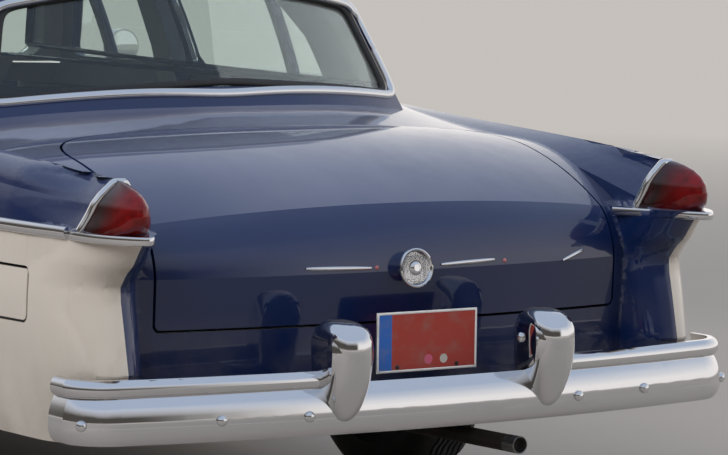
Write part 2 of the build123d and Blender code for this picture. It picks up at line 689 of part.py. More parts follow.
def make_rear():
    """The rear body: quarters, deck surround and tail panel in one piece, and the boot lid."""
    outer = side_solid(REAR_ROWS)
    inner = side_solid(REAR_ROWS, SKIN, SKIN, SILL_Z - 50.0)
    behind = trailing_space()
    tip = Face(Wire([
        ThreePointArc((928, 2430, 300), (905, 2530, 300), (838, 2606, 300)).edge(),
        ThreePointArc((838, 2606, 300), (780, 2530, 300), (758, 2430, 300)).edge(),
        Line((758, 2430, 300), (700, 2430, 300)).edge(),
        Line((700, 2430, 300), (700, 400, 300)).edge(),
        Line((700, 400, 300), (1000, 400, 300)).edge(),
        Line((1000, 400, 300), (1000, 2430, 300)).edge(),
        Line((1000, 2430, 300), (928, 2430, 300)).edge(),
    ]))
    plan = Solid.extrude(tip, Vector(0, 0, 900))
    solid = common(cut(outer, behind), plan)
    hollow = cut(inner, box((600, 1100), (2400, 2800), (200, 1200)))
    pod = cut(solid, hollow, ARCH_BACK)
    pod = cut(pod, box((500, 1100), (0, 1100), (300, SILL_TOP_Z)), *ROOMS)
    pod = max(pod.solids(), key=lambda s: s.volume)

    deck = cut(deck_solid(), deck_solid(LID_T, DECK_FOOT_Z - 40.0, 30.0))
    lid_room = lid_space(GAP)
    rim = cut(deck, lid_room, solid, mirrored(solid), cabin(PILLAR_T, ROOF_T))
    geese = [goose(x, LID_FRONT_Y + LID_HINGE_BACK, LID_HINGE_Z, 1) for x in (-LID_HINGE_X, LID_HINGE_X)]
    body = fuse(rim, cut(pod, flap_space(GAP), neck(NECK_R + 4)), mirrored(pod), *geese, *flap_hinges())
    save("rear_body", max(body.solids(), key=lambda s: s.volume))
    flap = common(cut(outer, side_solid(REAR_ROWS, FLAP_T, FLAP_T, SILL_Z - 50.0)), flap_space(0))
    flap = max(flap.solids(), key=lambda s: s.volume)
    x, y = FLAP_PIN
    for z in FLAP_HINGE_Z:
        flap = cut(flap, box((x - 30, x + 2.2), (FLAP[0][0] - 2, y + 3), (z - 3, z + 3)),
                   rod((x, y, z - 8.5), (x, y, z + 8.5), 1.2 + PIN_PLAY))
    save("fuel_flap", flap)
    lid = common(deck, lid_space())
    for x in (-LID_HINGE_X, LID_HINGE_X):
        lid = cut(lid, *goose_pocket(x, LID_FRONT_Y + LID_HINGE_BACK, LID_HINGE_Z, 1))
    save("boot_lid", max(lid.solids(), key=lambda s: s.volume))


def lid_space(grow=0.0):
    """The room the boot lid takes up; grow widens it to the opening."""
    half = LID_HALF + grow
    plan = plan_prism([(-half, LID_FRONT_Y - grow), (half, LID_FRONT_Y - grow), (half, 2900), (-half, 2900)],
                      (560, 1300), LID_CORNER_R + grow)
    back = front_prism([(-half, LID_FOOT_Z - grow), (half, LID_FOOT_Z - grow), (half, 1400), (-half, 1400)],
                       (1700, 2800), LID_FOOT_R + grow)
    return common(plan, back)


# Bumpers: the bar's line in plan (its middle, shoulder, corner and end) and its section (out, z)
Bar = namedtuple("Bar", "mid shoulder corner end arcs")
REAR_BAR = Bar((0, 2682), (880, 2592), (984, 2490), (984, 2420),
               [[(-30, 494), (-6, 456), (0, 414)], [(0, 414), (-3, 390), (-18, 370)], [(-40, 374), (-26, 430), (-46, 491)]])
REAR_BLADE = Bar((0, 2668), (880, 2583), (982, 2486), (982, 2424),
                 [[(-16, 526), (0, 503), (-16, 480)], [(-30, 480), (-24, 503), (-30, 526)]])
FRONT_BAR = Bar((0, 2712), (830, 2664), (984, 2522), (984, 2446),
                [[(-30, 504), (-6, 470), (0, 430)], [(0, 430), (-3, 406), (-18, 384)], [(-44, 388), (-28, 444), (-56, 498)]])
GUARD_X = 303.0


def bar_half(bar):
    """The left half of a bumper bar, swept along its line."""
    first = TangentArc(bar.mid, bar.shoulder, tangent=(1, 0))
    second = TangentArc(bar.shoulder, bar.corner, tangent=first % 1)
    path = Wire([first.edge(), second.edge(), Line(bar.corner, bar.end).edge()])
    edges = []
    for i, arc in enumerate(bar.arcs):
        points = [Vector(0, bar.mid[1] + out, z) for out, z in arc]
        out, z = bar.arcs[(i + 1) % len(bar.arcs)][0]
        start = Vector(0, bar.mid[1] + out, z)
        edges.append(ThreePointArc(*points).edge())
        if (points[-1] - start).length > SEAT:
            edges.append(Line(points[-1], start).edge())
    return Solid.sweep(Face(Wire(edges)), path)


def turned_about(shape):
    """The piece turned half round the vertical axis, from tail to nose."""
    return shape.rotate(Axis.Z, 180.0)


def make_bumpers():
    """Both bumpers: bar, guards, upper blades and brackets."""
    half = bar_half(REAR_BAR)
    blade = cut(bar_half(REAR_BLADE), box((-10, GUARD_X), (2000, 2900), (300, 700)))
    bar = fuse(half, mirrored(half))
    sections = []
    for z, y, wide in ((414, 2674, 56), (454, 2700, 86), (520, 2728, 112), (584, 2737, 118), (632, 2696, 92)):
        x0, x1 = GUARD_X - wide / 2, GUARD_X + wide / 2
        back = 2606
        sections.append(Wire([
            Line((x0, back, z), (x1, back, z)).edge(),
            Line((x1, back, z), (x1, y - 40, z)).edge(),
            ThreePointArc((x1, y - 40, z), (GUARD_X, y, z), (x0, y - 40, z)).edge(),
            Line((x0, y - 40, z), (x0, back, z)).edge(),
        ]))
    guard = loft(sections)
    arm = box((380, 440), (2360, 2640), (401, 439))
    piece = fuse(bar, guard, mirrored(guard), blade, mirrored(blade), arm, mirrored(arm))
    save("bumper_rear", piece)
    half = bar_half(FRONT_BAR)
    guard_front = guard.moved(Location((40, 0, 6)))
    arm = box((380, 440), (2340, 2640), (402, 440))
    piece = fuse(half, mirrored(half), guard_front, mirrored(guard_front), arm, mirrored(arm))
    save("bumper_front", turned_about(piece))


# Lamps
Lens = namedtuple("Lens", "y half foot_z top_z")
LENS = [
    Lens(LAMP_Y + 1, 70, LAMP_Z, 993),
    Lens(2505, 67, LAMP_Z, 989),
    Lens(2575, 53, LAMP_Z, 972),
    Lens(2618, 32, 874, 950),
    Lens(2638, 7, 902, 924),
]
LENS_X = 848.0
RING_W = 26.0
RING_T = 9.0


def lens_wire(row, y, grow=0.0):
    """One arch-shaped section of the tail lamp."""
    half = row.half + grow
    left, top, right = (LENS_X - half, y, row.foot_z), (LENS_X, y, row.top_z + grow), (LENS_X + half, y, row.foot_z)
    return Wire([ThreePointArc(left, top, right).edge(), Line(right, left).edge()])


def make_lamps():
    """Tail lamps with their trim, headlamps with their rims."""
    lens = loft([lens_wire(row, row.y) for row in LENS])
    lens = cut(lens, box((700, 1000), (2300, 2700), (800, LAMP_Z)))
    whole = lens
    lens = cut(lens, side_prism([(2300, 800), (lamp_y(800) + SEAT, 800), (lamp_y(1100) + SEAT, 1100), (2300, 1100)],
                                (700, 1000)))
    save("tail_lamps", lens, mirrored(lens))
    trim = cut(loft([lens_wire(LENS[0], LAMP_Y - 32, RING_T), lens_wire(LENS[1], 2540, RING_T)]), whole)
    band = side_prism([(lamp_y(800) + SEAT, 800), (lamp_y(800) + RING_W, 800), (lamp_y(1100) + RING_W, 1100),
                       (lamp_y(1100) + SEAT, 1100)], (700, 1000))
    blade = Face(Wire([
        ThreePointArc((927, LAMP_Y + SEAT, BLADE_Z), (902, 2556, BLADE_Z), (834, 2646, BLADE_Z)).edge(),
        ThreePointArc((834, 2646, BLADE_Z), (788, 2556, BLADE_Z), (769, LAMP_Y + SEAT, BLADE_Z)).edge(),
        Line((769, LAMP_Y + SEAT, BLADE_Z), (927, LAMP_Y + SEAT, BLADE_Z)).edge(),
    ]))
    trim = fuse(common(trim, band), Solid.extrude(blade, Vector(0, 0, LAMP_Z - BLADE_Z)))
    save("tail_lamp_trim", trim, mirrored(trim))
    x, y, z = HEADLAMP
    rim = turned([(85, 20), (HEADLAMP_R, 20), (HEADLAMP_R, 0), (HEADLAMP_R + 12, -8), (HEADLAMP_R + 4, -26), (85, -14)],
                 HEADLAMP, (0, 1, 0), (1, 0, 0))
    save("headlamp_bezels", rim, mirrored(rim))
    bowl = turned([(0, -24), (50, -18), (84.7, -4), (84.7, 16), (60, 60), (0, 90)], HEADLAMP, (0, 1, 0), (1, 0, 0))
    save("headlamps", bowl, mirrored(bowl))


# Running gear
TYRE_SHAPE = [(RIM_R, -62), (RIM_R + 12, -68), (RIM_R + 14, -80), (275, -96), (322, -88), (347, -68), (TYRE_R, -40), (TYRE_R, 40),
              (347, 68), (322, 88), (275, 96), (RIM_R + 14, 80), (RIM_R + 12, 68), (RIM_R, 62)]
WHEEL_SHAPE = [(RIM_R, -62), (RIM_R + 12, -68), (RIM_R + 12, -74), (RIM_R - 4, -74), (182, -40), (180, 8), (110, 14),
               (60, 6), (HUB_BORE_R, 6), (HUB_BORE_R, 44), (70, 44), (110, 52), (176, 44), (190, 66), (RIM_R - 2, 74),
               (RIM_R + 12, 74), (RIM_R + 12, 68), (RIM_R, 62)]
WHEELS = [("front_left", 1, FRONT_AXLE_Y), ("front_right", -1, FRONT_AXLE_Y),
          ("rear_left", 1, REAR_AXLE_Y), ("rear_right", -1, REAR_AXLE_Y)]
STUB_END = HALF_TRACK + 42.0
KNUCKLE_HALF = 62.0


def make_wheels():
    """Tyres and wheels, and the steered knuckles that carry the front ones."""
    for name, side, y in WHEELS:
        centre = (side * HALF_TRACK, y, TYRE_R)
        save(f"tyre_{name}", turned(TYRE_SHAPE, centre, (side, 0, 0), (0, 0, 1)))
        disc = turned(WHEEL_SHAPE, centre, (side, 0, 0), (0, 0, 1))
        cap = turned([(0, 46), (HUB_BORE_R + 20, 46), (HUB_BORE_R + 20, 44), (70, 44), (60, 62), (0, 70)],
                     centre, (side, 0, 0), (0, 0, 1))
        save(f"wheel_{name}", fuse(disc, cap))
    for name, side in (("left", 1), ("right", -1)):
        x = side * KINGPIN_X
        body = box((x - 24, x + 24), (FRONT_AXLE_Y - 26, FRONT_AXLE_Y + 26),
                   (TYRE_R - KNUCKLE_HALF, TYRE_R + KNUCKLE_HALF))
        flange = Solid.make_cylinder(70, 14, Plane(origin=(x + side * 24, FRONT_AXLE_Y, TYRE_R), z_dir=(side, 0, 0)))
        stub = rod((x, FRONT_AXLE_Y, TYRE_R), (side * STUB_END, FRONT_AXLE_Y, TYRE_R), STUB_R)
        pin = rod((x, FRONT_AXLE_Y, 100), (x, FRONT_AXLE_Y, 700), 12.05)
        save(f"knuckle_{name}", cut(fuse(body, flange, stub), pin))
    left = front_links(1)
    beam = box((-440, 440), (FRONT_AXLE_Y - 70, FRONT_AXLE_Y + 70), (250, 340))
    save("front_suspension", fuse(beam, left, mirrored(left)))
    tube = rod((-700, REAR_AXLE_Y, TYRE_R), (700, REAR_AXLE_Y, TYRE_R), 38)
    stubs = rod((-STUB_END, REAR_AXLE_Y, TYRE_R), (STUB_END, REAR_AXLE_Y, TYRE_R), STUB_R)
    diff = Solid.make_sphere(130, Plane(origin=(0, REAR_AXLE_Y, TYRE_R)), -90, 90, 360)
    shaft = rod((0, -939, 400), (0, REAR_AXLE_Y, TYRE_R), 32)
    spring = box((446, 506), (700, 1900), (300, 320))
    save("rear_axle", fuse(tube, stubs, diff, shaft, spring, mirrored(spring)))


def front_links(side):
    """The arms, spring and kingpin of one front wheel."""
    y = FRONT_AXLE_Y
    lower = plan_prism([(390, y - 150), (400, y + 150), (KINGPIN_X + 22, y + 30), (KINGPIN_X + 22, y - 30)], (226, 250))
    upper = plan_prism([(470, y - 80), (470, y + 80), (KINGPIN_X + 22, y + 28), (KINGPIN_X + 22, y - 28)], (452, 472))
    spring = rod((500, y, 240), (500, y, 470), 48)
    pin = rod((KINGPIN_X, y, 230), (KINGPIN_X, y, 470), 12)
    return fuse(lower, upper, spring, pin)


# Frame, floor and what they carry
def make_underbody():
    """The chassis frame, the floor pan, exhaust, tank, engine and radiator."""
    rail = side_prism([(-2340, 402), (-2340, 480), (-2050, 480), (-1300, FLOOR_Z), (964, FLOOR_Z), (1110, 548),
                       (1580, 548), (1900, 440), (2360, 440), (2360, 400), (1900, 360), (1560, 470), (1140, 470),
                       (980, 300), (-1400, 300), (-1620, 340), (-2000, 340), (-2100, 402)], (370, 440))
    cross = [box((-380, 380), (y, y + 90), z) for y, z in ((-2330, (402, 470)), (-1250, (300, 328)), (-300, (300, 328)),
             (800, (300, 328)), (2000, (395, 430)))]
    hangers = [box((440, 506), (y, y + 30), (320, 392)) for y in (700, 1870)]
    clamps = [cut(box((-292, -248), (y, y + 40), (286, 300)), rod((-270, y - 10, 274), (-270, y + 60, 274), 22 + SEAT))
              for y in (-1225, -275)]
    save("chassis_frame", fuse(rail, mirrored(rail), *cross, *clamps, *hangers, *[mirrored(h) for h in hangers]))

    top = FLOOR_Z + FLOOR_T
    pan = fuse(box((-836, 836), (-1040, 840), (FLOOR_Z, top)), box((-584, 584), (840, 960), (FLOOR_Z, top)))
    tunnel = common(tunnel_space(14), box((-200, 200), (-1040, 960), (FLOOR_Z, 600)))
    pan = cut(fuse(pan, box((-584, 584), (944, 960), (FLOOR_Z, 564)), tunnel), tunnel_space(0),
              box((-200, 200), (-1100, -1012), (FLOOR_Z + FLOOR_T, 600)))
    rear = fuse(box((-584, 584), (944, 2340), (548, 564)), box((-752, 752), (1720, 2340), (548, 564)))
    house = cut(box((568, 758), (880, 1720), (FLOOR_Z, 790)), box((584, 780), (896, 1704), (300, 774)))
    sill = cut(common(FLANK, box((836, 1000), (DOOR_FRONT_Y - GAP, 1000), (SILL_Z, SILL_TOP_Z))), ARCH_BACK)
    pan = cut(fuse(pan, rear, house, mirrored(house), sill, mirrored(sill)), neck(NECK_R + 4))
    save("floor_pan", pan)
    save("fuel_tank", fuse(box((-60, 520), (1930, 2330), (446, 548 - SEAT)), neck(NECK_R)))
    save("engine", fuse(box((-170, 170), (-2120, -1330), (340, 900)), box((-90, 90), (-1330, -940), (330, 470))))
    save("radiator", box((-300, 300), (-2330, -2260), (470, 880)))
    x = -270
    pipe = fuse(
        rod((x, -1300, 274), (x, 1000, 274), 22), rod((x, 1000, 274), (x, 2578, 296), 22),
        Solid.make_sphere(22, Plane(origin=(x, 1000, 274)), -90, 90, 360), rod((x, 0, 274), (x, 640, 274), 62))
    save("exhaust", pipe)


PLATE_HOLE_Z = 512.0


def make_cabin_fittings():
    """Seats, steering wheel, plate and mirrors."""
    bench = fuse(box((-640, 640), (-340, 200), (501, 640)), side_prism([(90, 560), (230, 560), (330, 1000), (210, 1000)],
                                                                      (-640, 640)))
    runner = box((-480, -440), (-300, 150), (FLOOR_Z + FLOOR_T, 500.7))
    riser = box((130, 500), (500, 900), (FLOOR_Z + FLOOR_T, 500.7))
    save("seat_runners", runner, mirrored(runner), riser, mirrored(riser))
    save("front_seat", bench)
    bench = fuse(box((-560, 560), (440, 940), (501, 660)), side_prism([(800, 600), (940, 600), (1150, 1010), (1010, 1030)],
                                                                     (-560, 560)))
    save("rear_seat", bench)
    plane = column_plane()
    rim = Solid.make_torus(205, 12, plane)
    bar = rod(plane.from_local_coords((-205, 0, 0)), plane.from_local_coords((205, 0, 0)), 9)
    post = rod(plane.from_local_coords((0, 0, -680)), plane.from_local_coords((0, 0, 14)), SHAFT_R)
    save("steering_wheel", fuse(rim, bar, post))
    plate = cut(box((-150, 150), (2570, 2573), (499, 649)), *[rod((x, 2560, PLATE_HOLE_Z), (x, 2580, PLATE_HOLE_Z), 3.5)
                                                              for x in (-89, 89)])
    stay = cut(box((-60, 60), (2440, 2570), (560, 600)), deck_solid())
    save("licence_plate", fuse(plate, stay))
    head = rod((880, -500, 1172), (880, -470, 1172), 58)
    stalk = cut(rod((852, -486, 1050), (872, -486, 1120), 8), FLANK)
    save("mirror_left", fuse(head, stalk))
    save("mirror_right", mirrored(fuse(head, stalk)))


make_doors()
make_greenhouse()
make_front()
make_rear()
make_bumpers()
make_lamps()
make_wheels()
make_underbody()
make_cabin_fittings()
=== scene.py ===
import math

import bmesh
import bpy
from mathutils import Matrix, Vector
from mathutils.bvhtree import BVHTree


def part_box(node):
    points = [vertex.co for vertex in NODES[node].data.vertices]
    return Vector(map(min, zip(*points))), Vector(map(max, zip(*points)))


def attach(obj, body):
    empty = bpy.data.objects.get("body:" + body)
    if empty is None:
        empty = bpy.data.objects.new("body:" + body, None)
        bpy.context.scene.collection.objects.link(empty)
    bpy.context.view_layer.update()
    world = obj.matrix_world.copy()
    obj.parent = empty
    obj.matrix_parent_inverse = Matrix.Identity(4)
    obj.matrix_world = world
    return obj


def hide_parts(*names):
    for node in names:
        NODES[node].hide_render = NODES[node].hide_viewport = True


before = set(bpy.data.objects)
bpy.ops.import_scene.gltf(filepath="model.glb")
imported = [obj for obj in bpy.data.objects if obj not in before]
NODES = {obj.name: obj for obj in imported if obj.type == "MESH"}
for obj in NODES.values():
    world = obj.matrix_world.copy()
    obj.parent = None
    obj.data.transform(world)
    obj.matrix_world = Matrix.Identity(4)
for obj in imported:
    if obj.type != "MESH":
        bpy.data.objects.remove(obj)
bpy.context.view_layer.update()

# The looks of a 1950s four-door saloon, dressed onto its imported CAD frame, in metres.
# The nose points to -Y and the car's left side to +X.
SIDES = (("left", 1), ("right", -1))

# Paint and finish colours, linear
BLUE = (0.0038, 0.0125, 0.056)
CREAM = (0.56, 0.50, 0.43)
RUST = (0.16, 0.055, 0.02)

# Where the two colours of paint meet
MOULD_Z = 0.862
FLANK_X = 0.826


# Materials
def add_node(tree, kind, inputs=(), **settings):
    """Adds a shader node, sets it up and links or sets its inputs in order."""
    made = tree.nodes.new("ShaderNode" + kind)
    for name, value in settings.items():
        setattr(made, name, value)
    for key, value in dict(inputs).items():
        if isinstance(value, bpy.types.NodeSocket):
            tree.links.new(value, made.inputs[key])
        else:
            made.inputs[key].default_value = value
    return made


class Shader:
    """One procedural material while its nodes are put together."""

    def __init__(self, name, **values):
        self.material = bpy.data.materials.new(name)
        self.material.use_nodes = True
        self.tree = self.material.node_tree
        self.bsdf = self.tree.nodes["Principled BSDF"]
        self.place = self.tree.nodes.new("ShaderNodeTexCoord").outputs["Object"]
        for socket, value in values.items():
            self.set(socket, value)

    def set(self, socket, value):
        """Sets or links an input of the shader."""
        target = self.bsdf.inputs[socket.replace("_", " ")]
        if isinstance(value, bpy.types.NodeSocket):
            self.tree.links.new(value, target)
        else:
            colour = target.type == "RGBA" and len(value) == 3
            target.default_value = (*value, 1.0) if colour else value

    def node(self, kind, inputs=(), **settings):
        """Adds a node to this material."""
        return add_node(self.tree, kind, inputs, **settings)

    def stretched(self, scale):
        """The object's coordinates, scaled along each axis."""
        return self.node("Mapping", {"Vector": self.place, "Scale": scale}).outputs[0]

    def noise(self, scale, detail=3.0, rough=0.55, place=None):
        """Smooth noise from 0 to 1."""
        return self.node("TexNoise", {"Vector": place or self.place, "Scale": scale, "Detail": detail,
                                      "Roughness": rough}).outputs["Fac"]

    def math(self, how, a, b=0.0, c=0.0):
        """Arithmetic on one to three values."""
        return self.node("Math", {0: a, 1: b, 2: c}, operation=how).outputs[0]

    def span(self, value, low, high, to_low=0.0, to_high=1.0):
        """Maps a value from one range to another and clamps it."""
        return self.node("MapRange", {"Value": value, "From Min": low, "From Max": high, "To Min": to_low,
                                      "To Max": to_high}).outputs[0]

    def blend(self, fac, first, second):
        """A colour between two, by a factor."""
        first, second = [(*c, 1.0) if isinstance(c, tuple) and len(c) == 3 else c for c in (first, second)]
        made = self.node("Mix", {0: fac, 6: first, 7: second}, data_type="RGBA")
        return made.outputs[2]

    def axes(self):
        """The object's x, y and z."""
        return self.node("SeparateXYZ", {0: self.place}).outputs

    def near(self, point, radius):
        """1 at a point, 0 outside the radius."""
        there = self.node("VectorMath", {0: self.place, 1: point}, operation="DISTANCE").outputs["Value"]
        return self.span(there, radius * 0.35, radius, 1.0, 0.0)

    def bump(self, height, distance, strength=1.0):
        """Raises the surface by a height map."""
        raised = self.node("Bump", {"Height": height, "Distance": distance, "Strength": strength})
        self.set("Normal", raised.outputs[0])


def paint(name, two_tone=True, marks=()):
    """Old glossy car paint: orange peel, a little dust low down, spots of rust, and upward faces paler,
    partly from sun-fade and partly from painted sky reflection.
    """
    s = Shader(name, Coat_Weight=1.0, Coat_Roughness=0.035, Coat_IOR=1.55, Specular_IOR_Level=0.15)
    x, y, z = s.axes()
    cloud = s.noise(1.7, 4.0)
    blue = s.blend(s.span(cloud, 0.35, 0.7), BLUE, tuple(c * 1.25 for c in BLUE))
    # Upward faces turn a paler grey-blue: partly sun-fade, partly a painted sky reflection.
    up = s.node("SeparateXYZ", {0: s.node("TexCoord").outputs["Normal"]}).outputs[2]
    bleach_and_sky_sheen = s.math("MULTIPLY", s.span(up, 0.50, 1.0), s.span(s.noise(1.3, 3.0), 0.25, 0.70, 0.55, 1.0))
    blue = s.blend(s.math("MULTIPLY", s.math("POWER", bleach_and_sky_sheen, 2.0), 0.50), blue, (0.25, 0.255, 0.30))
    colour = blue
    if two_tone:
        low = s.math("LESS_THAN", z, MOULD_Z)
        out = s.math("GREATER_THAN", s.math("ABSOLUTE", x), FLANK_X)
        cream = s.blend(s.span(s.noise(2.3, 5.0), 0.4, 0.75), CREAM, tuple(c * 0.93 for c in CREAM))
        streaks = s.noise(9.0, 4.0, 0.6, s.stretched((1.0, 6.0, 0.35)))
        cream = s.blend(s.span(streaks, 0.60, 0.82, 0.0, 0.32), cream, (0.42, 0.34, 0.26))
        colour = s.blend(s.math("MULTIPLY", low, out), blue, cream)
    dust = s.math("MULTIPLY", s.span(z, 0.66, 0.36), s.span(s.noise(6.0, 5.0), 0.40, 0.72))
    colour = s.blend(s.math("MULTIPLY", dust, 0.45), colour, (0.22, 0.19, 0.15))
    for point, radius in marks:
        speck = s.math("MULTIPLY", s.near(point, radius), s.span(s.noise(260.0, 2.0), 0.42, 0.55))
        colour = s.blend(speck, colour, RUST)
    s.set("Base_Color", colour)
    s.set("Roughness", s.span(s.noise(14.0, 4.0), 0.3, 0.7, 0.30, 0.42))
    s.bump(s.noise(420.0, 2.0, 0.5), 0.00004, 0.35)
    return s.material


def chrome(name="chrome", rough=0.05, pits=0.06):
    """Bright plating with faint haze and a few pits."""
    s = Shader(name, Metallic=1.0)
    haze = s.span(s.noise(11.0, 5.0), 0.45, 0.75)
    spots = s.span(s.noise(330.0, 2.0), 0.70, 0.78)
    s.set("Base_Color", s.blend(s.math("MULTIPLY", spots, 0.5), (0.71, 0.71, 0.72), (0.25, 0.20, 0.16)))
    s.set("Roughness", s.math("ADD", s.math("MULTIPLY", haze, pits), rough))
    s.bump(s.noise(5.0, 2.0), 0.0006, 0.5)
    return s.material


def plain(name, colour, rough, metal=0.0, grain=300.0, depth=0.0002, wear=0.82, **more):
    """A material of one colour with a fine grain and uneven wear."""
    s = Shader(name, Metallic=metal, **more)
    worn = tuple(c * wear for c in colour)
    s.set("Base_Color", s.blend(s.span(s.noise(7.0, 5.0), 0.35, 0.72), colour, worn))
    s.set("Roughness", s.span(s.noise(23.0, 4.0), 0.3, 0.7, max(rough - 0.08, 0.02), rough + 0.08))
    s.bump(s.noise(grain, 2.0), depth, 0.5)
    return s.material


def glass(name, tint, rough=0.0):
    """Clear tinted glass with faint dust."""
    s = Shader(name, Base_Color=tint, IOR=1.45, Transmission_Weight=1.0)
    s.set("Roughness", s.span(s.noise(18.0, 4.0), 0.45, 0.75, rough, rough + 0.03))
    return s.material


def lens():
    """Deep red moulded glass, darkened nearly to black towards its front by painted shade and brightened at
    its tip by painted light.
    """
    s = Shader("red_lens", Coat_Weight=1.0, Coat_Roughness=0.03, Coat_IOR=1.42, Roughness=0.3,
               Specular_IOR_Level=0.05)
    x, y, z = s.axes()
    # The colour runs from near-black at the front to bright red at the tip: painted shade and painted light.
    back = s.math("ADD", y, s.math("MULTIPLY", s.noise(16.0, 3.0), 0.05))
    fade = s.span(back, 2.520, 2.625)
    colour = s.blend(fade, (0.008, 0.0005, 0.0005), (0.17, 0.0030, 0.0035))
    blotch = s.span(s.noise(38.0, 3.0), 0.42, 0.66, 0.0, 0.55)
    s.set("Base_Color", s.blend(blotch, colour, (0.035, 0.0010, 0.0010)))
    s.bump(s.math("SINE", s.math("MULTIPLY", x, 700.0)), 0.0002, 0.12)
    return s.material


def cloth(name, colour, second):
    """Woven seat cloth with a small check of two threads and a soft sheen."""
    s = Shader(name, Roughness=0.78, Sheen_Weight=0.35, Sheen_Roughness=0.4)
    x, y, z = s.axes()
    across = s.math("SINE", s.math("MULTIPLY", x, 2100.0))
    along = s.math("SINE", s.math("MULTIPLY", s.math("ADD", y, z), 2100.0))
    weave = s.math("MULTIPLY", across, along)
    bands = s.math("SINE", s.math("MULTIPLY", x, 105.0))
    colour = s.blend(s.span(bands, 0.55, 0.75, 0.0, 0.75), colour, second)
    colour = s.blend(s.span(weave, -0.2, 0.8, 0.0, 0.35), colour, tuple(c * 0.55 for c in second))
    s.set("Base_Color", colour)
    s.bump(weave, 0.0004, 0.6)
    return s.material


def plate_paint():
    """A plain plate: white border, blue band at one end, red field, two round discs, road dirt."""
    s = Shader("plate_paint", Roughness=0.38)
    x, y, z = s.axes()
    up = s.math("SUBTRACT", z, PLATE_MID_Z)
    white = (0.72, 0.70, 0.67)
    colour = s.blend(s.math("GREATER_THAN", x, 0.106), (0.34, 0.030, 0.018), (0.012, 0.11, 0.42))
    for place, radius, tint in (((-0.004, 0.0, 0.5275), 0.0125, (0.55, 0.09, 0.16)),
                                ((-0.050, 0.0, 0.5270), 0.0115, (0.50, 0.46, 0.40))):
        flat = s.node("CombineXYZ", {0: x, 1: 0.0, 2: z}).outputs[0]
        far = s.node("VectorMath", {0: flat, 1: place}, operation="DISTANCE").outputs["Value"]
        colour = s.blend(s.math("LESS_THAN", far, radius), colour, tint)
    edge = s.math("MAXIMUM", s.math("GREATER_THAN", s.math("ABSOLUTE", x), 0.1440),
                  s.math("GREATER_THAN", s.math("ABSOLUTE", up), 0.0690))
    colour = s.blend(edge, colour, white)
    dirt = s.span(s.noise(30.0, 5.0), 0.48, 0.75, 0.0, 0.35)
    s.set("Base_Color", s.blend(dirt, colour, (0.20, 0.16, 0.13)))
    s.bump(s.noise(200.0, 2.0), 0.0001, 0.4)
    return s.material


PLATE_MID_Z = 0.574
MATERIALS = {
    "paint": paint("two_tone_paint", True, [((0.905, 2.120, 0.800), 0.016), ((0.917, 2.150, 0.792), 0.012)]),
    "deck": paint("blue_paint", False, [((0.450, 1.640, 1.060), 0.014), ((0.300, 1.800, 1.055), 0.012)]),
    "chrome": chrome(),
    "satin": chrome("stainless", 0.16, 0.10),
    "lens": lens(),
    "glass": glass("window_glass", (0.80, 0.89, 0.86)),
    "lamp": glass("lamp_glass", (0.93, 0.95, 0.96), 0.05),
    "tyre": plain("tyre_rubber", (0.022, 0.022, 0.023), 0.62, grain=900.0, depth=0.0003, wear=0.7),
    "gasket": plain("gasket_rubber", (0.012, 0.012, 0.013), 0.5, grain=700.0),
    "wheel": plain("wheel_paint", (0.0055, 0.014, 0.055), 0.30, wear=0.8),
    "black": plain("black_steel", (0.020, 0.020, 0.021), 0.55, grain=120.0, depth=0.0006, wear=0.6),
    "under": plain("underbody_paint", (0.032, 0.030, 0.028), 0.75, grain=80.0, depth=0.0010, wear=0.6),
    "iron": plain("engine_iron", (0.09, 0.12, 0.11), 0.6, 0.3, grain=90.0, depth=0.0010, wear=0.6),
    "exhaust": plain("exhaust_steel", (0.050, 0.040, 0.034), 0.6, 0.5, grain=140.0, depth=0.0004, wear=0.5),
    "pipe": plain("pipe_end_steel", (0.38, 0.37, 0.36), 0.3, 0.9, grain=140.0, depth=0.0002, wear=0.6),
    "rim": plain("wheel_rim_plastic", (0.60, 0.55, 0.46), 0.25, grain=600.0, depth=0.0001, wear=0.93),
    "dash": plain("dash_paint", (0.0095, 0.020, 0.09), 0.30, grain=500.0, depth=0.00005, wear=0.9),
    "cloth": cloth("seat_cloth", (0.050, 0.075, 0.16), (0.40, 0.39, 0.36)),
    "vinyl": plain("seat_vinyl", (0.42, 0.40, 0.36), 0.42, grain=520.0, depth=0.0004, wear=0.9),
    "lining": plain("headlining", (0.48, 0.45, 0.40), 0.9, grain=1500.0, depth=0.0003, wear=0.9),
    "carpet": plain("carpet", (0.018, 0.022, 0.04), 0.95, grain=1200.0, depth=0.0012, wear=0.6),
    # Near-black material for a disc inside the tail pipe's mouth: painted shade of the bore.
    "dark": plain("dark_void", (0.004, 0.004, 0.004), 0.8),
    # A darker copy of the body blue for inner faces: painted shade.
    "hidden_shaded": plain("inner_paint_painted_shade", tuple(c * 0.7 for c in BLUE), 0.6, grain=200.0, wear=0.8),
    "card": plain("door_card", (0.34, 0.33, 0.31), 0.5, grain=700.0, depth=0.0003, wear=0.88),
    "plate": plate_paint(),
    "amber": plain("amber_lens", (0.60, 0.22, 0.02), 0.12, grain=800.0, depth=0.0002, Coat_Weight=1.0),
    "mirror": chrome("mirror_glass", 0.01, 0.01),
    "dial": plain("dial_face", (0.55, 0.53, 0.47), 0.35, grain=900.0, depth=0.00005),
    "jewel": plain("red_jewel", (0.35, 0.10, 0.10), 0.15, Coat_Weight=1.0),
}


def dress(material, *nodes):
    """Gives CAD nodes a material."""
    for node in nodes:
        mesh = NODES[node].data
        mesh.materials.clear()
        mesh.materials.append(MATERIALS[material])
        for face in mesh.polygons:
            face.material_index = 0


